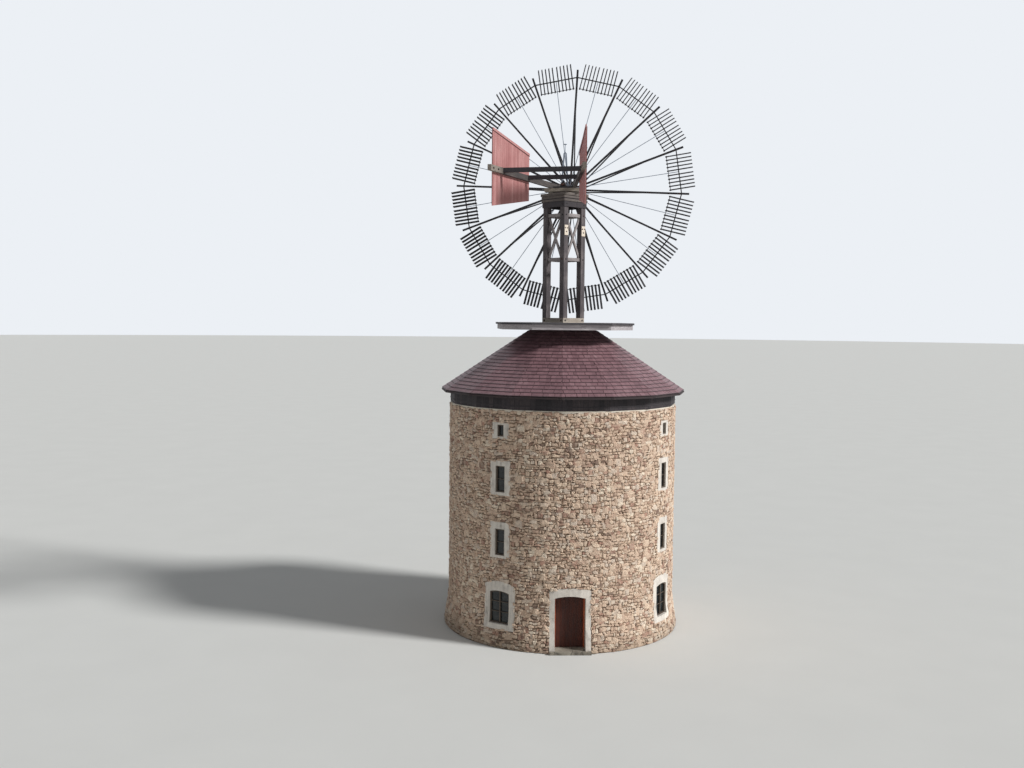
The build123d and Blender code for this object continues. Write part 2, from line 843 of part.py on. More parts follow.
# Mast over the yaw axis: two leaning legs that meet under a cap, a rod on the cap and a disc on the rod
mast_plane = Plane((0, mast_place + mast_bar / 2, beam_top), (1, 0, 0), (0, -1, 0))
shoulder = mast_shoulder - beam_top
with BuildPart() as mast:
    with BuildSketch(mast_plane):
        for hand in (-1, 1):
            with BuildLine():
                Polyline(
                    (hand * (mast_foot - mast_bar), 0),
                    (hand * mast_foot, 0),
                    (hand * mast_shoulder_half, shoulder),
                    (hand * (mast_shoulder_half - mast_bar), shoulder),
                    close=True,
                )
            make_face()
        with BuildLine():
            Polyline(
                (-mast_shoulder_half, shoulder),
                (mast_shoulder_half, shoulder),
                (mast_rod / 2, shoulder + mast_cap),
                (-mast_rod / 2, shoulder + mast_cap),
                close=True,
            )
        make_face()
    extrude(amount=mast_bar)
    rounds = (
        (mast_shoulder + mast_cap, mast_top, mast_rod),
        (mast_top - mast_disc_thickness, mast_top, mast_disc),
    )
    for low, high, across in rounds:
        with BuildSketch(level(low)):
            with Locations((0, mast_place)):
                Circle(across / 2)
        extrude(amount=high - low)
mast.part.label = "mast"
export_step(mast.part, "parts/mast.step")

# Wind shaft, with the hub that holds the arms, the nose that holds their braces and the rod collar
with BuildPart() as wind_shaft:
    with BuildSketch(across_wheel(first_spoke, shaft_end)):
        Circle(shaft_radius)
    extrude(amount=shaft_end - shaft_start)
    with BuildSketch(across_wheel(first_spoke, wheel_place + hub_thickness / 2)):
        RegularPolygon(hub_radius, spoke_count, major_radius=False, rotation=half_pitch)
    extrude(amount=hub_thickness)
    with BuildSketch(across_wheel(first_spoke, nose_place + nose_thickness / 2)):
        RegularPolygon(nose_radius, spoke_count, major_radius=False, rotation=half_pitch)
    extrude(amount=nose_thickness)
    with BuildSketch(across_wheel(first_spoke, collar_place + collar_thickness / 2)):
        RegularPolygon(collar_radius, spoke_count, major_radius=False)
    extrude(amount=collar_thickness)
wind_shaft.part.label = "wind_shaft"
export_step(wind_shaft.part, "parts/wind_shaft.step")

# Arms of the wheel
with BuildPart() as arms:
    for number in range(spoke_count):
        arm_plane = across_wheel(first_spoke + 2 * half_pitch * number, wheel_place + spoke_depth / 2)
        with BuildSketch(arm_plane) as arm:
            with Locations((0, hub_radius)):
                Rectangle(
                    spoke_width, wheel_radius * spoke_reach - hub_radius, align=(Align.CENTER, Align.MIN)
                )
        extrude(arm.sketch, spoke_depth)
arms.part.label = "arms"
export_step(arms.part, "parts/arms.step")

# Raking braces from the nose to the arms
arm_front = wheel_place + spoke_depth / 2
brace_foot = wheel_radius * brace_reach
brace_low = nose_place - wheel_brace / 2
brace_rake = (brace_low - arm_front) / (brace_foot - nose_radius)
with BuildPart() as arm_braces:
    for number in range(spoke_count):
        rake = outline(
            along_wheel(first_spoke + 2 * half_pitch * number),
            [
                (nose_radius, brace_low),
                (nose_radius, brace_low + wheel_brace),
                (brace_foot + wheel_brace / brace_rake, arm_front),
                (brace_foot, arm_front),
            ],
        )
        extrude(rake, wheel_brace / 2, both=True)
arm_braces.part.label = "arm_braces"
export_step(arm_braces.part, "parts/arm_braces.step")

# Rods from the collar to the middle of each panel
rod_end = rail_distance - wheel_rail / 2
with BuildPart() as panel_rods:
    for number in range(spoke_count):
        rake = outline(
            along_wheel(first_spoke + 2 * half_pitch * (number + 0.5)),
            [
                (collar_radius, collar_place - rod / 2),
                (collar_radius, collar_place + rod / 2),
                (rod_end, wheel_place + rod / 2),
                (rod_end, wheel_place - rod / 2),
            ],
        )
        extrude(rake, rod / 2, both=True)
panel_rods.part.label = "panel_rods"
export_step(panel_rods.part, "parts/panel_rods.step")


# Half the length of a rail between two arms, at a distance from the wheel's centre
def rail_half(distance):
    return distance * tan(radians(half_pitch)) - spoke_width / 2 / cos(radians(half_pitch))


# One panel: slats set at a pitch, held by a rail between the arms and a lighter one inside it
def panel(angle):
    slat_root = Plane(
        Vector(sin(radians(angle)), 0, cos(radians(angle))) * slat_inner + Vector(0, wheel_place, hub_height),
        (cos(radians(angle)), 0, -sin(radians(angle))),
        (sin(radians(angle)), 0, cos(radians(angle))),
    )
    with BuildPart() as piece:
        with BuildSketch(slat_root) as slats:
            for number in range(slat_count):
                for hand in (-1, 1):
                    with Locations((hand * (slat_gap / 2 + slat_spacing * number), 0)):
                        Rectangle(slat_thickness, slat_width, rotation=slat_pitch)
        extrude(slats.sketch, slat_outer - slat_inner)
        low = rail_distance - wheel_rail / 2
        high = rail_distance + wheel_rail / 2
        with BuildSketch(across_wheel(angle, wheel_place + wheel_rail / 2)) as middle_rail:
            with BuildLine():
                Polyline(
                    (-rail_half(low), low),
                    (rail_half(low), low),
                    (rail_half(high), high),
                    (-rail_half(high), high),
                    close=True,
                )
            make_face()
        extrude(middle_rail.sketch, wheel_rail)
        inner_place = wheel_place + inner_rail_shift + inner_rail / 2
        with BuildSketch(across_wheel(angle, inner_place)) as inner:
            with Locations((0, inner_rail_distance)):
                Rectangle(2 * (slat_reach + rail_overhang), inner_rail)
        extrude(inner.sketch, inner_rail)
    return piece.part


# Sixteen panels, four to a quarter of the wheel
quarter = spoke_count // 4
for number, sail_name in enumerate(["sails_top_right", "sails_bottom_right", "sails_bottom_left", "sails_top_left"]):
    with BuildPart() as sails:
        for place in range(quarter):
            add(panel(first_spoke + 2 * half_pitch * (number * quarter + place + 0.5)))
    sails.part.label = sail_name
    export_step(sails.part, f"parts/{sail_name}.step")
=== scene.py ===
from math import cos, hypot, pi, radians, sin, tan

import bpy
from mathutils import Matrix, Vector


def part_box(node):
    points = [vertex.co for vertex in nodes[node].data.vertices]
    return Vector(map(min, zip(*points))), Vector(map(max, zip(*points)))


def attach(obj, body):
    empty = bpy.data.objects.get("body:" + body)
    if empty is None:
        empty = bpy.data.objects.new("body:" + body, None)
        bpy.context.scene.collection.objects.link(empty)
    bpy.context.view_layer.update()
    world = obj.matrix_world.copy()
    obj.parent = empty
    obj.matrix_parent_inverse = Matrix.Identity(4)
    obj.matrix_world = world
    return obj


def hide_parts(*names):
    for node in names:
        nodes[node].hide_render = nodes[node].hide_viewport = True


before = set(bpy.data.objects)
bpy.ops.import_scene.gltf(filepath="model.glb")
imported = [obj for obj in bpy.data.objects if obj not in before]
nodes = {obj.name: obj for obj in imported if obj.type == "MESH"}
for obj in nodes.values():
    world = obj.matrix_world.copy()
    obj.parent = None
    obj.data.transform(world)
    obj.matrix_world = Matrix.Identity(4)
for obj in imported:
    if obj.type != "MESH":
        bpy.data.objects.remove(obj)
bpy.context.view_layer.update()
scene = bpy.context.scene
print("frame loaded,", len(nodes), "nodes")

# Sizes of the mill that the added pieces follow, in metres and degrees
mill = {
    "front": -80.1,             # bearing of the side that faces the camera
    "wallRadius": 4.32, "footRadius": 4.5, "flareTop": 1.2,
    "wallTop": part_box("wall_plain_back")[1].z,
    "roofSides": 16, "eaveRadius": 4.7, "eaveTop": 9.01,
    "roofTop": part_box("roof_curb")[1].z,
    "roofTopRadius": 1.22,
    "corniceRadius": 4.34,
    "deckSpan": 5.06,
    "deckCorner": 4.0131,       # across the deck's middle plus along it, at its cut corners
    "clear": 0.004,             # that stones and shingles keep below the tops of wall and roof
    "hubHeight": 16.83, "wheelPlace": 1.25, "firstSpoke": 3.0,
    "boomSlope": 0.231, "boomSpread": 0.34,
}
doorBearing = mill["front"] + 5
windowBearings = [mill["front"] - 30 + 90 * turn for turn in range(4)]
deckBearing = mill["front"] + 7.3
trestleBearing = mill["front"] + 45

# Window rows: opening width, sill, head, then the surround's width, foot, top and arch rise
windowRows = [
    (0.82, 0.83, 2.02, 1.28, 0.64, 2.37, 0.16),
    (0.40, 3.30, 4.25, 0.82, 3.20, 4.50, 0.0),
    (0.39, 5.57, 6.51, 0.84, 5.46, 6.70, 0.0),
    (0.27, 7.56, 7.98, 0.69, 7.48, 8.06, 0.0),
]
doorSurround = (1.48, 0.0, 2.30, 0.09)    # width, foot, top, arch rise


# A socket that carries a number, so that an expression on it adds its Math nodes
def sumOf(operation, swapped=False):
    def apply(self, *other):
        pair = (*other, self) if swapped else (self, *other)
        return self.tree.node("ShaderNodeMath", {"operation": operation}, pair)
    return apply


class Num:
    def __init__(self, tree, socket):
        self.tree = tree
        self.socket = socket

    def also(self, output):
        return Num(self.tree, self.socket.node.outputs[output])

    __add__ = sumOf("ADD")
    __radd__ = sumOf("ADD", True)
    __sub__ = sumOf("SUBTRACT")
    __rsub__ = sumOf("SUBTRACT", True)
    __mul__ = sumOf("MULTIPLY")
    __rmul__ = sumOf("MULTIPLY", True)
    __truediv__ = sumOf("DIVIDE")
    __rtruediv__ = sumOf("DIVIDE", True)
    __mod__ = sumOf("FLOORED_MODULO")
    __pow__ = sumOf("POWER")
    __gt__ = sumOf("GREATER_THAN")
    __lt__ = sumOf("LESS_THAN")
    __abs__ = sumOf("ABSOLUTE")
    least = sumOf("MINIMUM")
    most = sumOf("MAXIMUM")
    turnOf = sumOf("ARCTAN2")
    cosine = sumOf("COSINE")
    sine = sumOf("SINE")
    rounded = sumOf("ROUND")
    floored = sumOf("FLOOR")
    sign = sumOf("SIGN")
    root = sumOf("SQRT")


# A node tree, where one method adds any node: its settings first, then its sockets' values or links
class Tree:
    def __init__(self, tree):
        self.tree = tree

    def node(self, kind, settings=None, values=(), out=0):
        made = self.tree.nodes.new(kind)
        for key, value in (settings or {}).items():
            if key == "stops":
                shown = made.color_ramp.elements
                while len(shown) < len(value):
                    shown.new(1)
                for stop, (place, colour) in zip(shown, value):
                    stop.position = place
                    stop.color = colour
            else:
                setattr(made, key, value)
        pairs = values.items() if isinstance(values, dict) else enumerate(values)
        for key, value in pairs:
            if isinstance(value, Num):
                self.tree.links.new(value.socket, made.inputs[key])
            elif value is not None:
                made.inputs[key].default_value = value
        return Num(self, made.outputs[out])

    def vector(self, x, y, z):
        return self.node("ShaderNodeCombineXYZ", {}, (x, y, z))

    def parts(self, vector):
        x = self.node("ShaderNodeSeparateXYZ", {}, (vector,))
        return x, x.also("Y"), x.also("Z")


# A colour as it is seen on a screen, 0 to 255, for a socket
def tint(red, green, blue):
    def linear(value):
        share = value / 255
        return share / 12.92 if share <= 0.04045 else ((share + 0.055) / 1.055) ** 2.4
    return (linear(red), linear(green), linear(blue), 1.0)


# Patterns for materials
def noise(t, where, scale=1.0, detail=3.0, roughness=0.5, distortion=0.0):
    sockets = {"Vector": where, "Scale": scale, "Detail": detail, "Roughness": roughness}
    return t.node("ShaderNodeTexNoise", {}, {**sockets, "Distortion": distortion})


def own(t):
    return t.node("ShaderNodeTexCoord", {}, (), "Object")


def speckle(t, *settings):
    return noise(t, own(t), *settings)


def attribute(t, name, out="Fac"):
    return t.node("ShaderNodeAttribute", {"attribute_name": name}, (), out)


def ramp(t, value, *stops):
    shown = [(place, tint(*colour)) for place, *colour in stops]
    return t.node("ShaderNodeValToRGB", {"stops": shown}, (value,))


def span(t, value, low, high, start=0.0, end=1.0):
    return t.node("ShaderNodeMapRange", {}, (value, low, high, start, end))


def blend(t, factor, first, second):
    first, second = (colour if isinstance(colour, Num) else tint(*colour) for colour in (first, second))
    return t.node("ShaderNodeMix", {"data_type": "RGBA"}, {0: factor, 6: first, 7: second}, 2)


# What feeds a shader: its colour, its roughness between two ends, and its relief in metres
def coat(t, colour, share, smooth, rough, height, depth, low=0.3, high=0.7, **more):
    ends = span(t, share, low, high, smooth, rough)
    relief = t.node("ShaderNodeBump", {}, {"Strength": 1.0, "Distance": depth, "Height": height})
    return {"Base Color": colour, "Roughness": ends, "Normal": relief, **more}


# A material whose painter returns what the shader's sockets take, by a link or as a value
def surface(name, painter):
    material = bpy.data.materials.new(name)
    material.use_nodes = True
    tree = material.node_tree
    shader = next(n for n in tree.nodes if n.type == "BSDF_PRINCIPLED")
    for key, value in painter(Tree(tree)).items():
        if isinstance(value, Num):
            tree.links.new(value.socket, shader.inputs[key])
        else:
            shader.inputs[key].default_value = value
    return material


# Geometry Nodes: a tree with named inputs, its closing nodes, and the plain mesh grown from it
socketKinds = {int: "NodeSocketInt", float: "NodeSocketFloat", bpy.types.Material: "NodeSocketMaterial"}


def grower(name, inputs):
    group = bpy.data.node_groups.new(name, "GeometryNodeTree")
    group.interface.new_socket("Geometry", in_out="INPUT", socket_type="NodeSocketGeometry")
    for key, value in inputs.items():
        group.interface.new_socket(key, in_out="INPUT", socket_type=socketKinds[type(value)])
    group.interface.new_socket("Geometry", in_out="OUTPUT", socket_type="NodeSocketGeometry")
    t = Tree(group)
    start = group.nodes.new("NodeGroupInput")
    return t, {socket.name: Num(t, socket) for socket in start.outputs if socket.name}


def closeTree(t, geometry, given):
    whole = t.node("GeometryNodeRealizeInstances", {}, (geometry,))
    dressed = t.node("GeometryNodeSetMaterial", {}, {"Geometry": whole, "Material": given["Material"]})
    end = t.tree.nodes.new("NodeGroupOutput")
    t.tree.links.new(dressed.socket, end.inputs[0])


def grown(name, t, values, base=None):
    carrier = bpy.data.objects.new(name, base or bpy.data.meshes.new(name))
    scene.collection.objects.link(carrier)
    modifier = carrier.modifiers.new("grow", "NODES")
    modifier.node_group = t.tree
    for socket in t.tree.interface.items_tree:
        if socket.in_out == "INPUT" and socket.name in values:
            modifier[socket.identifier] = values[socket.name]
    carrier.update_tag()
    view = bpy.context.evaluated_depsgraph_get()
    mesh = bpy.data.meshes.new_from_object(carrier.evaluated_get(view))
    carrier.modifiers.remove(modifier)
    carrier.data = mesh
    mesh.name = name
    return carrier


def settle(piece, body):
    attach(piece, body)
    piece.data.calc_loop_triangles()
    print("piece", piece.name, len(piece.data.loop_triangles), "triangles")
    return piece


def randomly(t, low, high, seed, number=None):
    sockets = {2: low, 3: high, 7: number, 8: seed}
    return t.node("FunctionNodeRandomValue", {"data_type": "FLOAT"}, sockets, 1)


def position(t):
    return t.parts(t.node("GeometryNodeInputPosition"))


def moved(t, geometry, vector):
    return t.node("GeometryNodeSetPosition", {}, {"Geometry": geometry, "Position": vector})


def noted(t, geometry, name, value, kind="FLOAT"):
    sockets = {"Geometry": geometry, "Name": name, "Value": value}
    return t.node("GeometryNodeStoreNamedAttribute", {"data_type": kind, "domain": "POINT"}, sockets)


def noteOf(t, name, kind="FLOAT"):
    return t.node("GeometryNodeInputNamedAttribute", {"data_type": kind}, {"Name": name})


def vectorOf(t, name):
    return noteOf(t, name, "FLOAT_VECTOR")


def pointsOf(t, mesh):
    return t.node("GeometryNodeMeshToPoints", {}, {"Mesh": mesh})


def pointGrid(t, columns, rows, width, height):
    sockets = {"Size X": width, "Size Y": height, "Vertices X": columns, "Vertices Y": rows}
    return pointsOf(t, t.node("GeometryNodeMeshGrid", {}, sockets))


def prism(t, corners, radius, depth, segments=1):
    sockets = {"Vertices": corners, "Side Segments": segments, "Radius": radius, "Depth": depth}
    return t.node("GeometryNodeMeshCylinder", {"fill_type": "NGON"}, sockets)


def brick(t, size, cuts=2):
    return t.node("GeometryNodeMeshCube", {}, {"Size": size, "Vertices X": cuts})


def turned(t, angle, axis=(0.0, 0.0, 1.0)):
    return t.node("FunctionNodeAxisAngleToRotation", {}, {"Axis": axis, "Angle": angle})


def shifted(t, geometry, place=None, rotation=None):
    sockets = {"Geometry": geometry, "Translation": place, "Rotation": rotation}
    return t.node("GeometryNodeTransform", {}, sockets)


def scattered(t, points, piece, rotation=None, scale=None):
    sockets = {"Points": points, "Instance": piece, "Rotation": rotation, "Scale": scale}
    laid = t.node("GeometryNodeInstanceOnPoints", {}, sockets)
    return t.node("GeometryNodeRealizeInstances", {}, (laid,))


# A place out from an axis and across from there, swung about that axis
def swung(turn, out, across=0.0):
    cosine, sine = (turn.cosine(), turn.sine()) if isinstance(turn, Num) else (cos(turn), sin(turn))
    return out * cosine - across * sine, out * sine + across * cosine


# Camera, where the photograph was taken
photoView = {
    "distance": 40.0, "height": 11.75, "turn": 2.80, "tilt": 3.66, "roll": 0.52,
    "lens": 36.25, "sensor": 36.0,
}
towards = radians(mill["front"])


# A line of sight from the front, turned to the side, downwards and about itself, in degrees
def looking(turn, tilt, roll=0.0):
    aside = Matrix.Rotation(towards + pi / 2 + radians(turn), 4, "Z")
    down = Matrix.Rotation(pi / 2 - radians(tilt), 4, "X")
    return aside @ down @ Matrix.Rotation(radians(roll), 4, "Z")


camera = bpy.data.objects.new("camera", bpy.data.cameras.new("camera"))
camera.data.lens = photoView["lens"]
camera.data.sensor_width = photoView["sensor"]
camera.data.clip_end = 2000
scene.collection.objects.link(camera)
eye = (*swung(towards, photoView["distance"]), photoView["height"])
aim = looking(photoView["turn"], photoView["tilt"], photoView["roll"])
camera.matrix_world = Matrix.Translation(eye) @ aim
scene.camera = camera

# Stage: a pale floor and backdrop, a soft key light from the sun's side and an even fill
studio = {
    "floorRadius": 600.0, "floor": (226, 226, 222), "floorPatch": (220, 220, 216),
    "backdrop": tint(236, 240, 245), "fill": 0.24,
    "key": 3.2, "keyHeight": 33.0, "keySoftness": 10.0,
    "keyBearing": 74.0,         # to the right of the camera
}
floorMesh = bpy.data.meshes.new("floor")
rim = [(*swung(2 * pi * number / 64, studio["floorRadius"]), -0.002) for number in range(64)]
floorMesh.from_pydata(rim, [], [list(range(64))])
floor = bpy.data.objects.new("floor", floorMesh)
scene.collection.objects.link(floor)


def paintGround(t):
    colour = blend(t, speckle(t, 0.4, 3), studio["floor"], studio["floorPatch"])
    return {"Base Color": colour, "Roughness": 0.9}


floorMesh.materials.append(surface("floorPaint", paintGround))

key = bpy.data.objects.new("key", bpy.data.lights.new("key", "SUN"))
key.data.energy = studio["key"]
key.data.angle = radians(studio["keySoftness"])
key.matrix_world = looking(studio["keyBearing"], studio["keyHeight"])
scene.collection.objects.link(key)

world = bpy.data.worlds.new("studio")
world.use_nodes = True
scene.world = world
world.node_tree.nodes.clear()
sky = Tree(world.node_tree)
path = sky.node("ShaderNodeLightPath", {}, (), "Is Camera Ray")
seen = path.most(path.also("Is Glossy Ray")).most(path.also("Is Transmission Ray"))
fill = sky.node("ShaderNodeBackground", {}, (studio["backdrop"], studio["fill"]))
shown = sky.node("ShaderNodeBackground", {}, (studio["backdrop"], 1.0))
mixed = sky.node("ShaderNodeMixShader", {}, (seen, fill, shown))
worldEnd = world.node_tree.nodes.new("ShaderNodeOutputWorld")
world.node_tree.links.new(mixed.socket, worldEnd.inputs["Surface"])
scene.view_settings.view_transform = "Standard"
print("stage set")


# Directions that timber grain runs in: along the grain, across it and into it, in metres
def upright(t, x, y, z):
    return z, x, y


def crosswise(t, x, y, z):
    return x, y, z


def squareRound(bearing):
    def grain(t, x, y, z):
        u, v = swung(-radians(bearing), x, y)
        side = abs(u) > abs(v)
        return u + side * (v - u), v + side * (u - v), z
    return grain


def spokewise(t, x, y, z):
    rise = z - mill["hubHeight"]
    return (x * x + rise * rise).root(), x.turnOf(rise) * 3, y


def boomwise(t, x, y, z):
    return y, abs(x) + mill["boomSlope"] * y, z


def roundTower(t, x, y, z):
    return y.turnOf(x) * mill["wallRadius"], z, (x * x + y * y).root()


def boardwise(t, x, y, z):
    return t.parts(attribute(t, "grain", "Vector"))


# Weathered timber: long grain, fine fibres, weather patches and drying cracks
def timber(name, look, grain):
    def paint(t):
        x, y, z = t.parts(own(t))
        along, across, over = grain(t, x, y, z)
        coarse = noise(t, t.vector(along * 1.1, across * 22, over * 22), 1, 4, 0.6)
        fine = noise(t, t.vector(along * 5, across * 130, over * 130), 1, 2, 0.5)
        patch = speckle(t, 1.3, 4, 0.6)
        split = abs(noise(t, t.vector(along * 1.6, across * 34, over * 34), 1, 2, 0.4) - 0.5)
        crack = span(t, split, 0.0, 0.018, 1.0, 0.0) * span(t, patch, 0.4, 0.6)
        share = coarse * 0.5 + fine * 0.2 + patch * 0.45 - 0.08
        if "tone" in look:
            share = share + (attribute(t, "tone") - 0.5) * look["tone"]
        colour = ramp(t, share, (0.28, *look["dark"]), (0.5, *look["mid"]), (0.72, *look["pale"]))
        if "end" in look:
            colour = blend(t, span(t, y, *look["end"], 1.0, 0.0), colour, look["endTint"])
        # painted shade: faces that stand upright, such as the planks' sides and cut ends, are darkened
        # towards the side tone as if in shadow
        if "side" in look:
            upward = t.parts(t.node("ShaderNodeNewGeometry", {}, (), "Normal"))[2]
            colour = blend(t, (abs(upward) < 0.5) * 0.85, colour, look["side"])
        colour = blend(t, crack * 0.8, colour, look["crack"])
        height = coarse * 0.6 + fine * 0.3 - crack
        return coat(t, colour, coarse, look["rough"] - 0.08, look["rough"] + 0.08, height, 0.004)
    return surface(name, paint)


# Timbers: their dark, middle, pale and cracked tones, and how rough they are
def wood(dark, mid, pale, crack, rough, **more):
    return {"dark": dark, "mid": mid, "pale": pale, "crack": crack, "rough": rough, **more}


greyTimber = wood((90, 84, 84), (148, 140, 139), (190, 183, 180), (34, 31, 30), 0.8)
postTimber = wood((42, 37, 40), (84, 77, 79), (152, 142, 139), (22, 19, 19), 0.8)
paleTimber = wood((118, 108, 98), (168, 157, 144), (205, 196, 183), (64, 57, 50), 0.82)
tarTimber = wood((24, 21, 25), (40, 36, 41), (68, 63, 66), (13, 11, 12), 0.62)
capTimber = wood((30, 25, 28), (46, 40, 43), (76, 67, 68), (15, 12, 13), 0.72)
bandTimber = wood((62, 54, 51), (100, 91, 86), (142, 132, 124), (30, 25, 23), 0.78)
boomTimber = wood(
    (36, 32, 34), (70, 64, 62), (112, 103, 97), (18, 16, 17), 0.7,
    end=(-5.0, -4.5), endTint=(138, 128, 118),
)
wheelTimber = wood((18, 16, 19), (30, 27, 31), (52, 47, 51), (12, 10, 11), 0.66)
redTimber = wood((150, 92, 90), (184, 129, 126), (204, 156, 152), (112, 62, 60), 0.72, tone=0.16)
# dark red of the vane battens, also used for the painted shadow strip under the vanes' capping
edgeTimber = wood((58, 26, 26), (84, 40, 38), (112, 60, 56), (30, 14, 14), 0.75)
doorTimber = wood((48, 19, 10), (80, 34, 19), (114, 56, 33), (24, 11, 7), 0.74, tone=0.35)
doorFrameTimber = wood((126, 54, 28), (178, 86, 50), (212, 122, 80), (58, 25, 15), 0.6)
frameTimber = wood((52, 43, 37), (86, 74, 63), (128, 114, 98), (26, 21, 17), 0.7)
corniceTimber = wood((30, 26, 29), (47, 41, 44), (74, 65, 66), (16, 13, 14), 0.75, tone=0.3)
fasciaTimber = wood((128, 123, 126), (180, 174, 176), (214, 208, 207), (52, 48, 50), 0.8)
# Deck planks: their upright sides and cut ends take a darker tone as painted shade
plankTimber = wood(
    (88, 84, 88), (128, 124, 128), (168, 163, 164), (44, 41, 42), 0.82,
    tone=0.3, side=(46, 42, 45),
)


# Lime mortar between the stones outside, and limewashed plaster on the rooms' walls
def paintMortar(t):
    x, y, z = t.parts(own(t))
    reach = (x * x + y * y).root()
    grit = speckle(t, 28, 6, 0.65)
    patch = speckle(t, 1.1, 4, 0.6)
    outside = ramp(
        t, grit * 0.5 + patch * 0.5,
        (0.35, 98, 80, 68), (0.5, 130, 109, 92), (0.65, 180, 157, 134),
    )
    ring = span(t, z + speckle(t, 5, 3) * 0.16, mill["wallTop"] + 0.01, mill["wallTop"] + 0.03)
    outside = blend(t, ring, outside, (224, 214, 199))
    damp = span(t, z + patch * 0.9, 0.35, 1.0, 0.5, 0.0)
    outside = blend(t, damp, outside, (96, 86, 72))
    inside = ramp(t, patch, (0.35, 196, 188, 174), (0.65, 222, 216, 204))
    colour = blend(t, span(t, reach, 4.0, 4.1), inside, outside)    # well inside the outer face
    return coat(t, colour, grit, 0.84, 0.96, grit, 0.012)


# Rubble stones: each has its own tone, from sandy beige to brown, some reddish and some grey
def paintStone(t):
    tone = attribute(t, "tone")
    speck = speckle(t, 30, 6, 0.7)
    broad = speckle(t, 0.5, 3, 0.5)
    vein = speckle(t, 7, 5, 0.6, 0.6)
    colour = ramp(
        t, tone + (broad - 0.5) * 0.5,
        (0.0, 138, 112, 98), (0.06, 186, 142, 123), (0.15, 200, 170, 148), (0.45, 226, 196, 171),
        (0.70, 240, 213, 187), (0.86, 220, 201, 184), (1.0, 252, 234, 211),
    )
    z = t.parts(own(t))[2]
    colour = blend(t, span(t, vein, 0.42, 0.62, 0.0, 0.35), colour, (250, 229, 203))
    colour = blend(t, span(t, speck, 0.36, 0.54, 0.5, 0.0), colour, (104, 84, 72))
    damp = span(t, z + broad * 1.2, 0.5, 1.3, 0.4, 0.0)
    colour = blend(t, damp, colour, (84, 78, 62))
    return coat(t, colour, speck, 0.78, 0.94, speck + vein * 0.6, 0.03)


# Limewashed surrounds, grey where the rain runs and patchy where the wash is worn
def paintWash(t):
    x, y, z = t.parts(own(t))
    patch = speckle(t, 3.2, 5, 0.65)
    streak = noise(t, t.vector(x * 9, y * 9, z * 0.8), 1, 3, 0.6)
    grit = speckle(t, 40, 4, 0.6)
    colour = ramp(
        t, patch * 0.55 + streak * 0.45,
        (0.3, 162, 154, 144), (0.44, 210, 202, 192), (0.6, 233, 225, 214),
    )
    colour = blend(t, span(t, grit, 0.55, 0.75, 0.0, 0.35), colour, (120, 110, 96))
    return coat(t, colour, patch, 0.8, 0.92, grit * 0.4 + patch, 0.008)


# Worn flags of the threshold and the ground floor
def paintFlags(t):
    x, y, z = t.parts(own(t))
    sockets = {"Vector": t.vector(x, y, z * 0.2), "Scale": 1.7}
    edge = t.node("ShaderNodeTexVoronoi", {"feature": "DISTANCE_TO_EDGE"}, sockets, "Distance")
    joint = span(t, edge, 0.0, 0.03, 1.0, 0.0)
    patch = speckle(t, 2.2, 5, 0.6)
    grit = speckle(t, 45, 4, 0.6)
    colour = ramp(t, patch, (0.3, 112, 105, 94), (0.5, 142, 135, 122), (0.7, 170, 163, 148))
    colour = blend(t, joint * 0.7, colour, (70, 64, 55))
    return coat(t, colour, patch, 0.7, 0.88, grit * 0.3 + patch * 0.5 - joint, 0.008)


# Cleft shingles, reddish brown gone mauve and silver with weather, with painted shade along their butts for
# the course lines
def paintShingle(t):
    across, along, out = t.parts(attribute(t, "grain", "Vector"))
    tone = attribute(t, "tone")
    fibre = noise(t, t.vector(across * 60, along * 4, out * 30), 1, 3, 0.6)
    patch = speckle(t, 0.7, 4, 0.6)
    colour = ramp(
        t, tone * 0.2 + fibre * 0.34 + patch * 0.5 - 0.02,
        (0.2, 92, 66, 70), (0.42, 120, 88, 93), (0.6, 140, 105, 110), (0.85, 170, 142, 145),
    )
    # painted shade: the lowest few centimetres of each shingle, at its butt, are darkened as the shadow
    # line of each course
    rim = span(t, attribute(t, "butt"), 0.0, 0.055, 0.85, 0.0)
    return coat(t, blend(t, rim, colour, (46, 33, 36)), fibre, 0.42, 0.66, fibre, 0.004)


# Boards and battens under the shingles, seen at the eaves and from inside
def paintRoofBoards(t):
    x, y, z = t.parts(own(t))
    reach = (x * x + y * y).root()
    course = (reach / 0.18) % 1.0       # boards' width, in metres
    gap = span(t, abs(course - 0.5), 0.46, 0.5)
    patch = noise(t, t.vector(y.turnOf(x) * 5, reach * 30, z), 1, 4, 0.6)
    colour = ramp(t, patch, (0.3, 30, 22, 23), (0.55, 48, 36, 36), (0.75, 68, 53, 52))
    colour = blend(t, gap, colour, (18, 14, 13))
    return coat(t, colour, patch, 0.7, 0.85, patch * 0.4 - gap, 0.006)


# Plain sawn floor boards
def paintFloor(t):
    x, y, z = t.parts(own(t))
    board = x / 0.2         # boards' width, in metres
    gap = span(t, abs((board % 1.0) - 0.5), 0.475, 0.5)
    tone = t.node("ShaderNodeTexWhiteNoise", {"noise_dimensions": "1D"}, {"W": board.floored()})
    grain = noise(t, t.vector(x * 40, y * 1.5, z * 40), 1, 4, 0.6)
    colour = ramp(t, tone * 0.4 + grain * 0.6, (0.25, 92, 68, 48), (0.5, 124, 96, 70), (0.75, 154, 126, 96))
    colour = blend(t, gap, colour, (34, 25, 18))
    return coat(t, colour, grain, 0.6, 0.75, grain * 0.3 - gap, 0.004)


# Iron, black paint with rust coming through
def paintIron(t):
    patch = speckle(t, 9, 6, 0.7)
    fine = speckle(t, 70, 4, 0.6)
    rust = span(t, patch + fine * 0.25, 0.62, 0.74)
    colour = blend(t, rust, (40, 40, 43), (104, 62, 42))
    metal = span(t, rust, 0.0, 1.0, 0.6, 0.1)
    return coat(t, colour, rust, 0.45, 0.85, fine + rust * 0.5, 0.002, 0.0, 1.0, Metallic=metal)


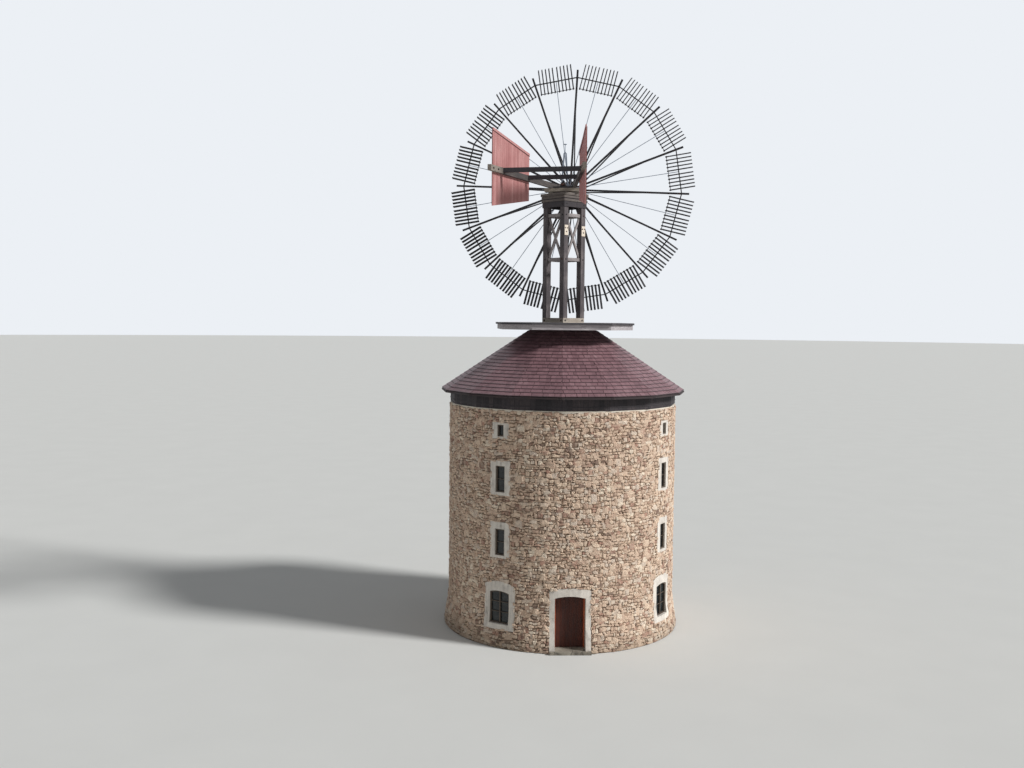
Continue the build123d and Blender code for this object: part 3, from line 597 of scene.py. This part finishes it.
# Galvanised rods, dull and spotted
def paintZinc(t):
    patch = speckle(t, 6, 5, 0.6)
    fine = speckle(t, 55, 3, 0.6)
    colour = ramp(t, patch * 0.7 + fine * 0.3, (0.3, 104, 112, 124), (0.7, 158, 167, 180))
    return coat(t, colour, patch, 0.38, 0.6, fine, 0.001, Metallic=span(t, fine, 0.3, 0.7, 0.75, 0.55))


# Cream paint, chalked and chipped at the rims of the plates
def paintCream(t):
    patch = speckle(t, 8, 5, 0.65)
    fine = speckle(t, 60, 4, 0.6)
    chip = span(t, patch + fine * 0.3, 0.74, 0.8)
    colour = ramp(t, patch, (0.3, 214, 199, 180), (0.7, 240, 228, 212))
    colour = blend(t, chip, colour, (116, 74, 50))
    return coat(t, colour, patch, 0.5, 0.7, fine * 0.3 - chip, 0.001)


# Old glass, dusty towards the bars
def paintGlass(t):
    dust = speckle(t, 7, 5, 0.65)
    colour = ramp(t, dust, (0.35, 26, 30, 33), (0.75, 62, 66, 66))
    return coat(t, colour, dust, 0.05, 0.3, speckle(t, 4, 2), 0.004, 0.3, 0.8, IOR=1.45)


painters = {
    "limeMortar": paintMortar,
    "rubbleStone": paintStone,
    "limewash": paintWash,
    "wornFlags": paintFlags,
    "cleftShingle": paintShingle,
    "roofBoards": paintRoofBoards,
    "floorBoards": paintFloor,
    "blackIron": paintIron,
    "zincRod": paintZinc,
    "creamPaint": paintCream,
    "oldGlass": paintGlass,
}
timbers = {
    "corniceTimber": ({**corniceTimber, "tone": 0}, roundTower),
    "corniceBoard": (corniceTimber, boardwise),
    "fasciaTimber": (fasciaTimber, squareRound(deckBearing)),
    "deckPlank": (plankTimber, boardwise),
    "sillTimber": (paleTimber, squareRound(trestleBearing)),
    "postTimber": (postTimber, upright),
    "railTimber": (greyTimber, squareRound(trestleBearing)),
    "braceTimber": (greyTimber, upright),
    "bandTimber": (bandTimber, squareRound(trestleBearing)),
    "capTimber": (capTimber, upright),
    "boomTimber": (boomTimber, boomwise),
    "beamTimber": (tarTimber, crosswise),
    "bolsterTimber": (paleTimber, crosswise),
    "redBoard": (redTimber, boardwise),
    # painted shadow: the thin dark strip laid under the vanes' capping
    "redShadowStrip": (edgeTimber, boardwise),
    "battenTimber": (edgeTimber, upright),
    "redBatten": ({**redTimber, "tone": 0}, upright),
    "wheelTimber": (wheelTimber, spokewise),
    "clipTimber": (tarTimber, spokewise),
    "frameTimber": (frameTimber, upright),
    "doorFrameTimber": (doorFrameTimber, upright),
    "doorBoard": (doorTimber, boardwise),
    "doorLeaf": ({**doorTimber, "tone": 0}, upright),
}
looks = {name: surface(name, painter) for name, painter in painters.items()}
looks.update({name: timber(name, *how) for name, how in timbers.items()})

# Each CAD node keeps its shape and takes its finish
finishes = {
    "limeMortar": [name for name in nodes if name.startswith("wall_")],
    "wornFlags": ["ground_floor", "threshold"],
    "floorBoards": ["first_floor", "second_floor", "third_floor"],
    "limewash": ["window_surrounds", "door_jambs", "door_head"],
    "frameTimber": ["window_frames"],
    "doorFrameTimber": ["door_frame"],
    "oldGlass": ["window_glass"],
    "doorLeaf": ["door_leaf"],
    "blackIron": ["door_straps", "door_pintles", "base_ring", "turntable", "shaft_bearings", "wind_shaft"],
    "corniceTimber": ["cornice", "roof_curb"],
    "roofBoards": ["roof_front_right", "roof_back_right", "roof_back_left", "roof_front_left"],
    "fasciaTimber": ["deck_frame", "deck_boards"],
    "sillTimber": ["trestle_sills"],
    "postTimber": ["trestle_posts"],
    "railTimber": ["lower_rails", "upper_rails"],
    "braceTimber": ["trestle_braces"],
    "bandTimber": ["cap_rails", "trestle_platform"],
    "capTimber": ["cap_boards"],
    "creamPaint": ["splice_plates"],
    "boomTimber": ["booms"],
    "beamTimber": ["tie_beams", "bearing_beams"],
    "bolsterTimber": ["bolsters"],
    "redBatten": ["vane_left", "vane_right"],
    "battenTimber": ["vane_battens"],
    "zincRod": ["panel_rods", "mast"],
    "wheelTimber": ["arms", "arm_braces"] + [name for name in nodes if name.startswith("sails_")],
}
for look, names in finishes.items():
    for name in names:
        nodes[name].material_slots[0].material = looks[look]
print("finishes set")


# Rubble stones of the tower wall, in quarters: rough courses that wander, clipped at the surrounds
rubble = {
    "Columns": 186,
    "Rows": 80,
    "Wander": 0.34,         # of a stone's width, to each side of where a joint would be
    "Bed Wander": 0.36,     # the same for every stone of a short run
    "Joint": 0.019, "Warp": 0.17, "Ruffle": 0.07, "Chip": 0.021,
    "Warp Scale": 1.3, "Ruffle Scale": 6.5, "Crown Chip": 0.32, "Crest": 0.11,
    "Proud Low": 0.012, "Proud High": 0.044, "Edge Proud": 0.010,
    "Crown": 0.64, "Tilt": 0.14, "Tooth": 0.07,
    "Large": 0.15, "Large Proud": 0.005, "Large Wide": 0.4, "Large Tall": 0.75,
    "Near": -0.16, "Hidden Beside": 0.06, "Hidden Ends": 0.04,      # depths into a surround
    "Top": mill["wallTop"] - 0.045, "Start": 0.0, "Seed": 7, "Material": looks["rubbleStone"],
}


# The side of a surround that a place is on, and how far in it is from side, arched head and foot
def depthsIn(angle, height, bearing, every, shape):
    width, foot, top, rise = shape
    swing = (angle - radians(bearing) + every / 2) % every - every / 2
    away = swing * mill["wallRadius"]
    head = top - rise * (abs(away) / (width / 2)) ** 2.0
    return away, width / 2 - abs(away), head - height, height - foot


def rubbleTree():
    t, given = grower("rubble", rubble)
    radius = mill["wallRadius"]
    columns, rows, seed = given["Columns"], given["Rows"], given["Seed"]
    pitch = 2 * pi * radius / columns
    course = given["Top"] / rows
    width, height = columns - 1, rows - 1
    points = pointGrid(t, columns, rows, width, height)
    x, y, z = position(t)
    column = (x + width / 2).rounded()
    row = (y + height / 2).rounded()
    shift = randomly(t, -0.5, 0.5, seed, row)

    def joint(place):
        number = row * columns + place % columns
        swing = randomly(t, -1.0, 1.0, seed + 1, number) * given["Wander"]
        return (place + shift + swing) * pitch

    def bed(place):
        run = (column / 2).floored() + place * 499      # so that no two courses share a number
        swing = randomly(t, -1.0, 1.0, seed + 2, run) * given["Bed Wander"]
        return (place + swing) * course

    left, right = joint(column), joint(column + 1)
    low, high = bed(row), bed(row + 1)
    large = randomly(t, 0.0, 1.0, seed + 3) < given["Large"]
    proud = randomly(t, given["Proud Low"], given["Proud High"], seed + 4)
    points = noted(t, points, "number", row * columns + column)
    points = noted(t, points, "tone", randomly(t, 0.0, 1.0, seed + 5))
    points = noted(t, points, "proud", proud + large * given["Large Proud"])
    points = noted(t, points, "wide", (right - left - given["Joint"]) * (1 + large * given["Large Wide"]))
    points = noted(t, points, "tall", (high - low - given["Joint"]) * (1 + large * given["Large Tall"]))
    middle = t.vector((left + right) / 2, (low + high) / 2, 0.0)
    points = noted(t, points, "middle", middle, "FLOAT_VECTOR")
    middle = vectorOf(t, "middle")
    points = moved(t, points, middle)
    x, y, z = position(t)
    angle = x / radius
    gone = ((angle - given["Start"]) % (2 * pi)) > pi / 2
    places = [(windowBearings[0], pi / 2, shape[3:]) for shape in windowRows]
    places.append((doorBearing, 2 * pi, doorSurround))
    near = 0.0
    for place in places:
        away, beside, under, over = depthsIn(angle, y, *place)
        ends = under.least(over)
        gone = gone.most((beside > given["Hidden Beside"]) * (ends > given["Hidden Ends"]))
        near = (beside.least(ends) > given["Near"]).most(near)
    points = noted(t, points, "proud", noteOf(t, "proud") + near * given["Edge Proud"])
    points = t.node("GeometryNodeDeleteGeometry", {"domain": "POINT"}, (points, gone))

    # one stone: rough and six-cornered with its rim drawn in, a unit wide, tall and proud
    stone = prism(t, 6, 1.0, 1.0, 2)
    stone = noted(t, stone, "corner", t.node("GeometryNodeInputIndex") % 6.0)
    stone = shifted(t, stone, None, turned(t, pi / 6))
    x, y, z = position(t)
    crown = z > 0.25
    inset = 1 - crown * (1 - given["Crown"])
    broad = (abs(x) / cos(pi / 6)) ** 0.5 * x.sign() * 0.52 * inset
    deep = abs(y) ** 0.42 * y.sign() * 0.52 * inset
    stone = noted(t, stone, "crown", crown)
    raised = z * 0.8 + 0.6 - (z < -0.25) * 0.55     # its foot lies in the mortar
    stone = moved(t, stone, t.vector(broad, deep, raised))
    size = t.vector(noteOf(t, "wide"), noteOf(t, "tall"), noteOf(t, "proud"))
    tilt = randomly(t, -1.0, 1.0, seed + 10) * given["Tilt"]
    laid = scattered(t, points, stone, turned(t, tilt), size)

    # chips at the corners, and the warp that makes the courses wander
    chipped = noteOf(t, "number") * 8 + noteOf(t, "corner")
    x, y, z = position(t)
    angle = x / radius
    where = t.vector(angle.cosine() * radius, angle.sine() * radius, y)
    slow = t.parts(noise(t, where, given["Warp Scale"], 2, 0.5).also("Color"))
    quick = t.parts(noise(t, where, given["Ruffle Scale"], 2, 0.5).also("Color"))
    chip = [randomly(t, -1.0, 1.0, seed + 6 + axis, chipped) for axis in range(3)]

    def strayed(start, axis):
        wandered = start + (slow[axis] - 0.5) * given["Warp"] + (quick[axis] - 0.5) * given["Ruffle"]
        return wandered + chip[axis] * given["Chip"]

    out = z * (1 + noteOf(t, "crown") * chip[2] * given["Crown Chip"])
    laid = moved(t, laid, t.vector(strayed(x, 0), strayed(y, 1), out))
    tooth = randomly(t, -0.3, 1.0, seed + 9, noteOf(t, "number")) * given["Tooth"]
    middleX, middleY = t.parts(middle)[:2]
    for place in places:
        x, y, z = position(t)
        away, beside, under, over = depthsIn(x / radius, y, *place)
        centre = depthsIn(middleX / radius, middleY, *place)
        sideways = centre[1] < centre[2].least(centre[3])
        drawn = (beside > tooth) * (under > tooth) * (over > tooth) * 0.97
        pushed = (beside - tooth) * centre[0].sign() * sideways * drawn
        above = centre[2] < centre[3]
        raised = (above * (under - tooth) - (1 - above) * (over - tooth)) * (1 - sideways) * drawn
        laid = moved(t, laid, t.vector(x + pushed, y + raised, z))
    x, y, z = position(t)
    crest = given["Top"] + (quick[2] - 0.35) * given["Crest"]
    level = y.most(0.02).least(crest.least(mill["wallTop"] - mill["clear"]))
    flare = (1 - level / mill["flareTop"]).most(0.0)
    reach = z + radius + flare * (mill["footRadius"] - radius)
    angle = x / radius
    laid = moved(t, laid, t.vector(angle.cosine() * reach, angle.sine() * reach, level))
    closeTree(t, laid, given)
    return t


stoneTree = rubbleTree()
for quarter, side in enumerate(["Front", "Right", "Back", "Left"]):
    start = radians(mill["front"] - 45 + 90 * quarter)
    settle(grown("rubble" + side, stoneTree, {**rubble, "Start": start}), "tower")


# Shingles of the roof, in quarters, each facet's courses trimmed at the hips
roofHalf = pi / mill["roofSides"]
roofRun = (mill["eaveRadius"] - mill["roofTopRadius"]) * cos(roofHalf)
roofRise = mill["roofTop"] - mill["eaveTop"]
roofLength = hypot(roofRun, roofRise)
shingles = {
    "Courses": 20, "Across": 16, "Width": 0.142, "Lap": 0.05, "Thick": 0.017, "Gap": 0.005,
    "Ragged": 0.008, "First": 0.028, "Lift": 1.15,
    "Swell": 0.34, "Wave": 3.3, "Wave Step": 2.4,       # widths that grow and shrink along a course
    "Facets": mill["roofSides"] // 4, "Start": 0.0, "Seed": 3, "Material": looks["cleftShingle"],
}


# Half of a facet's width, up its slope from the eave
def facetHalf(up):
    taper = mill["eaveRadius"] - mill["roofTopRadius"]
    return sin(roofHalf) * (mill["eaveRadius"] - taper * up / roofLength)


def shingleTree():
    t, given = grower("shingles", shingles)
    wide, thick, seed = given["Width"], given["Thick"], given["Seed"]
    show = (roofLength - given["First"]) / given["Courses"]
    height = show * (given["Courses"] - 1)
    points = pointGrid(t, given["Across"], given["Courses"], wide * (given["Across"] - 1), height)
    sockets = {"Geometry": points, "Amount": given["Facets"]}
    copies = t.node("GeometryNodeDuplicateElements", {"domain": "POINT"}, sockets)
    points = noted(t, copies, "facet", copies.also("Duplicate Index"))
    facet = noteOf(t, "facet")
    x, y, z = position(t)
    up = y + height / 2
    course = (up / show).rounded()
    shift = randomly(t, -0.5, 0.5, seed, course + facet * 40)
    wave = 2 * pi / (wide * given["Wave"])
    phase = (x + shift) * wave + course * given["Wave Step"]
    swell = phase.cosine() * given["Swell"]
    across = x + shift * wide + phase.sine() * given["Swell"] / wave
    sag = randomly(t, 0.0, 1.0, seed + 1) * given["Ragged"]
    points = noted(t, points, "swell", swell)
    points = moved(t, points, t.vector(across, up + given["First"] + sag, 0.0))
    points = noted(t, points, "tone", randomly(t, 0.0, 1.0, seed + 2))
    x, y, z = position(t)
    gone = abs(x) > facetHalf(y) + wide * 0.4
    points = t.node("GeometryNodeDeleteGeometry", {"domain": "POINT"}, (points, gone))
    length = show + given["Lap"]
    board = brick(t, t.vector(wide - given["Gap"], length, thick))
    board = shifted(t, board, t.vector(0.0, length / 2, thick / 2))
    x, y, z = position(t)
    board = noted(t, board, "butt", y)
    lift = thick * given["Lift"]
    tilt = turned(t, 0.0 - lift / length, (1.0, 0.0, 0.0))
    board = shifted(t, board, t.vector(0.0, 0.0, lift + 0.001), tilt)
    laid = scattered(t, points, board, None, t.vector(noteOf(t, "swell") + 1.0, 1.0, 1.0))
    x, y, z = position(t)
    laid = noted(t, laid, "grain", t.vector(x + noteOf(t, "tone") * 40, y, z), "FLOAT_VECTOR")
    reach = y.least(roofLength)
    climb, run = roofRise / roofLength, roofRun / roofLength
    hip = facetHalf(reach) + z * tan(roofHalf) * climb
    trimmed = x.most(0.0 - hip).least(hip)
    away = mill["eaveRadius"] * cos(roofHalf) - reach * run + z * climb
    rise = mill["eaveTop"] + reach * climb + z * run
    turn = given["Start"] + (noteOf(t, "facet") * 2 + 1) * roofHalf
    rise = rise.least(mill["roofTop"] - mill["clear"])
    laid = moved(t, laid, t.vector(*swung(turn, away, trimmed), rise))
    closeTree(t, laid, given)
    return t


roofTree = shingleTree()
for quarter, side in enumerate(["FrontRight", "BackRight", "BackLeft", "FrontLeft"]):
    changes = {"Start": radians(mill["front"] + 90 * quarter), "Seed": shingles["Seed"] + 10 * quarter}
    settle(grown("shingles" + side, roofTree, {**shingles, **changes}), "tower")


# Rows of boards side by side: local x across the boards, y along them, z out of their face
def boardRow(name, look, placed):
    keys = ("Count", "Pitch", "Width", "Length", "Thick", "Uneven", "Seed")
    inputs = {**{key: look[key] for key in keys}, "Material": looks[look["finish"]]}
    t, given = grower(name, inputs)
    start = t.vector((1 - given["Count"]) * given["Pitch"] / 2, 0.0, 0.0)
    step = t.vector(given["Pitch"], 0.0, 0.0)
    sockets = {"Count": given["Count"], "Start Location": start, "Offset": step}
    points = pointsOf(t, t.node("GeometryNodeMeshLine", {"mode": "OFFSET"}, sockets))
    points = noted(t, points, "tone", randomly(t, 0.0, 1.0, given["Seed"]))
    laid = scattered(t, points, brick(t, t.vector(given["Width"], given["Length"], given["Thick"])))
    x, y, z = position(t)
    tone = noteOf(t, "tone")
    laid = noted(t, laid, "grain", t.vector(y + tone * 30, x, z), "FLOAT_VECTOR")
    uneven = (((tone * 57.3) % 1.0) - 1.0) * given["Uneven"]
    closeTree(t, moved(t, laid, placed(t, x, y, z, uneven)), given)
    return settle(grown(name, t, inputs), look["body"])


# Deck planks, cut off at the corners of the deck
deckLow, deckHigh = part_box("deck_boards")
deckPlanks = {
    "Count": 26, "Pitch": mill["deckSpan"] / 26, "Width": mill["deckSpan"] / 26 - 0.008,
    "Length": mill["deckSpan"], "Thick": deckHigh.z - deckLow.z, "Uneven": 0.012, "Seed": 5,
    "finish": "deckPlank", "body": "tower", "slot": "grey_timber",
}


def placeDeck(t, x, y, z, uneven):
    reach = (mill["deckCorner"] - abs(x)).least(deckPlanks["Length"] / 2) + uneven
    return t.vector(*swung(radians(deckBearing), x, y.sign() * reach), z + (deckLow.z + deckHigh.z) / 2)


planks = boardRow("deckPlanks", deckPlanks, placeDeck)
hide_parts("deck_boards")

# Upright boards of the cornice, on its sixteen faces
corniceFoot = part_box("cornice")[0].z
corniceSide = 2 * mill["corniceRadius"] * sin(roofHalf)
perSide = 9
corniceBoards = {
    "Count": perSide * mill["roofSides"], "Pitch": corniceSide / perSide,
    "Width": corniceSide / perSide - 0.006, "Length": 0.42, "Thick": 0.012, "Uneven": 0.006, "Seed": 11,
    "finish": "corniceBoard", "body": "tower", "slot": "dark_timber",
}


def placeCornice(t, x, y, z, uneven):
    fromStart = x + corniceSide * mill["roofSides"] / 2
    side = (fromStart / corniceSide).floored()
    across = fromStart - (side + 0.5) * corniceSide
    turn = (side * 2 + 1) * roofHalf + radians(mill["front"])
    away = z + mill["corniceRadius"] * cos(roofHalf) + corniceBoards["Thick"] / 2
    return t.vector(*swung(turn, away, across), y + corniceFoot + corniceBoards["Length"] / 2 - uneven)


boardRow("corniceBoards", corniceBoards, placeCornice)

# Vane boards, upright, in place of the two plain vanes
vane = {
    "start": 2.27, "end": 5.15, "startHalf": 0.85, "endHalf": 1.315, "rise": 0.072, "thick": 0.025,
    "boomHalf": 0.06, "count": 20,
}
boomLow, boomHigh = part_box("booms")
boomAxis = (boomLow.z + boomHigh.z) / 2
boomReach = hypot(1, mill["boomSlope"])
vaneLength = (vane["end"] - vane["start"]) * boomReach
vaneBoards = {
    "Count": vane["count"], "Pitch": vaneLength / vane["count"],
    "Width": vaneLength / vane["count"] - 0.004, "Length": 1.0, "Thick": vane["thick"],
    "Uneven": 0.0, "Seed": 21, "finish": "redBoard", "body": "head", "slot": "red_boards",
}


# Place beside a boom: along it from the yaw axis, out from its middle, and up from the vane's middle
def besideBoom(t, hand, along, out, up):
    back = Vector((hand * mill["boomSlope"], -1.0)).normalized()
    outward = Vector((hand, mill["boomSlope"])).normalized()
    return t.vector(
        along * back.x + out * outward.x + hand * mill["boomSpread"],
        along * back.y + out * outward.y,
        up + boomAxis + vane["rise"],
    )


def vaneHalf(along):
    share = (along / boomReach - vane["start"]) / (vane["end"] - vane["start"])
    return share * (vane["endHalf"] - vane["startHalf"]) + vane["startHalf"]


def alongBoom(hand, x):
    return x * -hand + (vane["start"] + vane["end"]) / 2 * boomReach


def placeVane(hand):
    def place(t, x, y, z, uneven):
        along = alongBoom(hand, x)
        return besideBoom(t, hand, along, z + vane["boomHalf"] + vane["thick"] / 2, y * 2 * vaneHalf(along))
    return place


for hand, name, node in ((-1, "vaneBoardsLeft", "vane_left"), (1, "vaneBoardsRight", "vane_right")):
    piece = boardRow(name, {**vaneBoards, "Seed": 21 + hand}, placeVane(hand))
    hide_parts(node)

# Capping batten along the slanted top edge of each vane, on its inner face, with a thin dark strip below it
# that is painted shadow of the batten
vaneCapping = {
    **vaneBoards, "Count": 1, "Pitch": 0.0, "Width": vaneLength, "Length": 0.085, "Thick": 0.018, "Seed": 3,
}
# painted shadow: a thin dark red strip under the capping, standing in for the batten's shadow
vaneShadowStrip = {**vaneCapping, "Length": 0.022, "Thick": 0.010, "finish": "redShadowStrip"}


def placeCapping(hand, look, drop):
    def place(t, x, y, z, uneven):
        along = alongBoom(hand, x)
        up = vaneHalf(along) - drop - look["Length"] / 2 + y
        return besideBoom(t, hand, along, z + vane["boomHalf"] - look["Thick"] / 2, up)
    return place


for hand, side in ((-1, "Left"), (1, "Right")):
    boardRow("vaneCapping" + side, vaneCapping, placeCapping(hand, vaneCapping, 0.0))
    boardRow("vaneShadowStrip" + side, vaneShadowStrip, placeCapping(hand, vaneShadowStrip, vaneCapping["Length"]))

# Boards on the door leaf, their tops following the arch
doorLeaf = {"width": 0.962, "rise": 0.08, "face": 3.975, "foot": 0.112}
doorBoards = {
    "Count": 6, "Pitch": doorLeaf["width"] / 6, "Width": doorLeaf["width"] / 6 - 0.007, "Length": 1.836,
    "Thick": 0.006, "Uneven": 0.0, "Seed": 31, "finish": "doorBoard", "body": "door", "slot": "door_timber",
}


def placeDoor(t, x, y, z, uneven):
    share = y / doorBoards["Length"] + 0.5
    arch = doorBoards["Length"] - doorLeaf["rise"] * (x / (doorLeaf["width"] / 2)) ** 2.0
    away = z + doorLeaf["face"] + doorBoards["Thick"] / 2
    return t.vector(*swung(radians(doorBearing), away, x), share * arch + doorLeaf["foot"])


boardRow("doorBoards", doorBoards, placeDoor)
print("boards laid")


# Marks that fittings stand on, as points of a mesh: a place, a direction or turn, one size or three
def marked(name, marks):
    mesh = bpy.data.meshes.new(name)
    mesh.from_pydata([mark[0] for mark in marks], [], [])
    for key, column in (("turn", 1), ("size", 2)):
        notes = mesh.attributes.new(key, "FLOAT_VECTOR", "POINT")
        for index, mark in enumerate(marks):
            value = mark[column]
            notes.data[index].vector = value if isinstance(value, tuple) else (value,) * 3
    return mesh


def onFace(bearing, reach, across, height):
    return (*swung(radians(bearing), reach, across), height)


def facing(bearing):
    return onFace(bearing, 1.0, 0.0, 0.0)


# Bolts: a round washer and a six-sided head, each turned at random about its own axis
bolts = {"Washer": 1.6, "Washer Thick": 0.3, "Head Thick": 0.75, "Seed": 41, "Material": looks["blackIron"]}


def boltTree():
    t, given = grower("bolts", bolts)
    flat, deep = given["Washer Thick"], given["Head Thick"]
    washer = shifted(t, prism(t, 10, given["Washer"], flat), t.vector(0.0, 0.0, flat / 2))
    head = shifted(t, prism(t, 6, 1.0, deep), t.vector(0.0, 0.0, flat + deep / 2))
    whole = t.node("GeometryNodeJoinGeometry")
    for piece in (washer, head):
        t.tree.links.new(piece.socket, whole.socket.node.inputs[0])
    spin = turned(t, randomly(t, 0.0, 2 * pi, given["Seed"]))
    sockets = {"Rotation": spin, "Vector": vectorOf(t, "turn")}
    turn = t.node("FunctionNodeAlignRotationToVector", {"axis": "Z"}, sockets)
    points = pointsOf(t, given["Geometry"])
    closeTree(t, scattered(t, points, whole, turn, vectorOf(t, "size")), given)
    return t


# Blocks: bars, straps, clips and plates, with their rims taken off
blocks = {"Rim": 0.06, "Material": looks["blackIron"]}


def blockTree():
    t, given = grower("blocks", blocks)
    cube = brick(t, (1.0, 1.0, 1.0), 4)
    x, y, z = position(t)
    last = abs(x) > 0.4
    drawn = 1 - last * given["Rim"]
    inner = x * (1 + (1 - last) * (0.47 / (1 / 6) - 1))     # the inner cuts move out from 1/6 to 0.47
    cube = moved(t, cube, t.vector(inner, y * drawn, z * drawn))
    turn = t.node("FunctionNodeEulerToRotation", {}, (vectorOf(t, "turn"),))
    points = pointsOf(t, given["Geometry"])
    closeTree(t, scattered(t, points, cube, turn, vectorOf(t, "size")), given)
    return t


boltsTree, blocksTree = boltTree(), blockTree()


def fitted(name, tree, look, marks, body):
    return settle(grown(name, tree, look, marked(name, marks)), body)


# Bolts of the tower: splice plates, rails, sills and cap boards of the trestle
postLine = 0.46
towerBolts = []
for side in range(4):
    bearing = trestleBearing + 90 * side
    for across in (-postLine, postLine):
        for reach, height, size in (
            (0.57, 11.68, 0.022), (0.57, 14.0, 0.02), (0.57, 15.67, 0.02), (0.60, 16.08, 0.016),
        ):
            towerBolts.append((onFace(bearing, reach, across, height), facing(bearing), size))
        if side % 2 == 0:
            for shift, height in ((-0.055, 15.17), (0.055, 15.17), (0.0, 15.03)):
                place = onFace(bearing, 0.585, across + shift, height)
                towerBolts.append((place, facing(bearing), 0.017))
fitted("trestleBolts", boltsTree, bolts, towerBolts, "tower")

# Bolts of the head: boom tops and sides, vane battens, bearings and the turntable's ring
headBolts = []
for hand in (-1, 1):
    outward = Vector((hand, mill["boomSlope"], 0.0)).normalized()

    def onBoom(back, out, height):
        centre = Vector((hand * (mill["boomSpread"] + mill["boomSlope"] * back), -back, height))
        return tuple(centre + outward * out)

    for back in (-0.45, 0.35, 2.56, 4.53):
        headBolts.append((onBoom(back, 0.0, boomHigh.z), (0.0, 0.0, 1.0), 0.024))
    for back in (4.95, 5.30):
        headBolts.append((onBoom(back, -0.06, boomAxis), tuple(-outward), 0.022))
    for share in (0.02, 0.5, 0.98):
        back = vane["start"] + share * (vane["end"] - vane["start"])
        for height in (-0.55, 0.0, 0.62):
            headBolts.append((onBoom(back, 0.105, boomAxis + height), tuple(outward), 0.014))
for place in (-0.35, 0.56):
    for across in (-0.08, 0.08):
        for way in (-1, 1):
            headBolts.append(((across, place + 0.06 * way, 16.79), (0.0, way, 0.0), 0.012))
for angle in (-22, 0, 22, 158, 180, 202):
    spot = onFace(angle, 0.4, 0.0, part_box("turntable")[1].z)
    headBolts.append((spot, (0.0, 0.0, 1.0), 0.016))
fitted("headBolts", boltsTree, bolts, headBolts, "head")


# Bolts, arm straps and slat clips of the wheel
def onWheel(angle, reach, across, y):
    up, aside = swung(radians(angle), reach, across)
    return aside, y, mill["hubHeight"] + up


armFaces = {way: mill["wheelPlace"] + 0.035 * way for way in (-1, 1)}
spokes = [mill["firstSpoke"] + 22.5 * number for number in range(16)]
wheelBolts, armStraps = [], []


def wheelBolt(angle, reach, y, way, size):
    wheelBolts.append((onWheel(angle, reach, 0.0, y), (0.0, way, 0.0), size))


for angle in spokes:
    for way, face in armFaces.items():
        for reach in (0.42, 0.66):
            wheelBolt(angle, reach, face + 0.008 * way, way, 0.013)
        wheelBolt(angle, 4.281, face, way, 0.014)
        strap = (onWheel(angle, 0.545, 0.0, face + 0.004 * way), (0.0, radians(angle) - pi / 2, 0.0))
        armStraps.append((*strap, (0.41, 0.008, 0.052)))
    for reach in (3.1525, 3.88):
        wheelBolt(angle, reach, armFaces[-1], -1, 0.014)
for number in range(8):
    wheelBolt(45 * number, 0.15, 2.145, 1, 0.013)
clips = {**blocks, "Material": looks["clipTimber"]}
slatClips = []
for angle in spokes:
    for number in range(5):
        for across in (0.0885 + 0.139 * number, -0.0885 - 0.139 * number):
            place = onWheel(angle + 11.25, 3.88, across + 0.008, 1.222)
            slatClips.append((place, (0.0, radians(angle + 11.25), 0.0), (0.05, 0.05, 0.06)))
fitted("wheelBolts", boltsTree, bolts, wheelBolts, "wheel")
fitted("armStraps", blocksTree, blocks, armStraps, "wheel")
fitted("slatClips", blocksTree, clips, slatClips, "wheel")

# Bars in the windows: two in each ground window, one in the two rows over it
bars = {**blocks, "Material": looks["frameTimber"]}
windowBars = []
for bearing in windowBearings:
    for row, shares in ((0, (0.34, 0.67)), (1, (0.5,)), (2, (0.5,))):
        width, sill, top = windowRows[row][:3]
        for share in shares:
            place = onFace(bearing, 4.26, 0.0, sill + 0.045 + share * (top - sill - 0.09))
            windowBars.append((place, (0.0, 0.0, radians(bearing + 90)), (width - 0.08, 0.03, 0.022)))
fitted("windowBars", blocksTree, bars, windowBars, "tower")

# Nails where the straps hold the door's boards, and its handle on a lock plate
boardFace = doorLeaf["face"] + doorBoards["Thick"]
doorNails = []
for number in range(5):
    for height in (0.505, 1.505):
        place = onFace(doorBearing, boardFace, (number - 2.5) * doorBoards["Pitch"], height)
        doorNails.append((place, facing(doorBearing), 0.009))
fitted("doorNails", boltsTree, bolts, doorNails, "door")
handle = [
    (onFace(doorBearing, boardFace + out, 0.405, height), (0.0, 0.0, radians(doorBearing)), size)
    for out, height, size in (
        (0.002, 1.06, (0.004, 0.055, 0.19)), (0.038, 1.09, (0.014, 0.018, 0.13)),
        (0.019, 1.04, (0.034, 0.014, 0.014)), (0.019, 1.14, (0.034, 0.014, 0.014)),
    )
]
fitted("doorHandle", blocksTree, blocks, handle, "door")
print("fittings set")
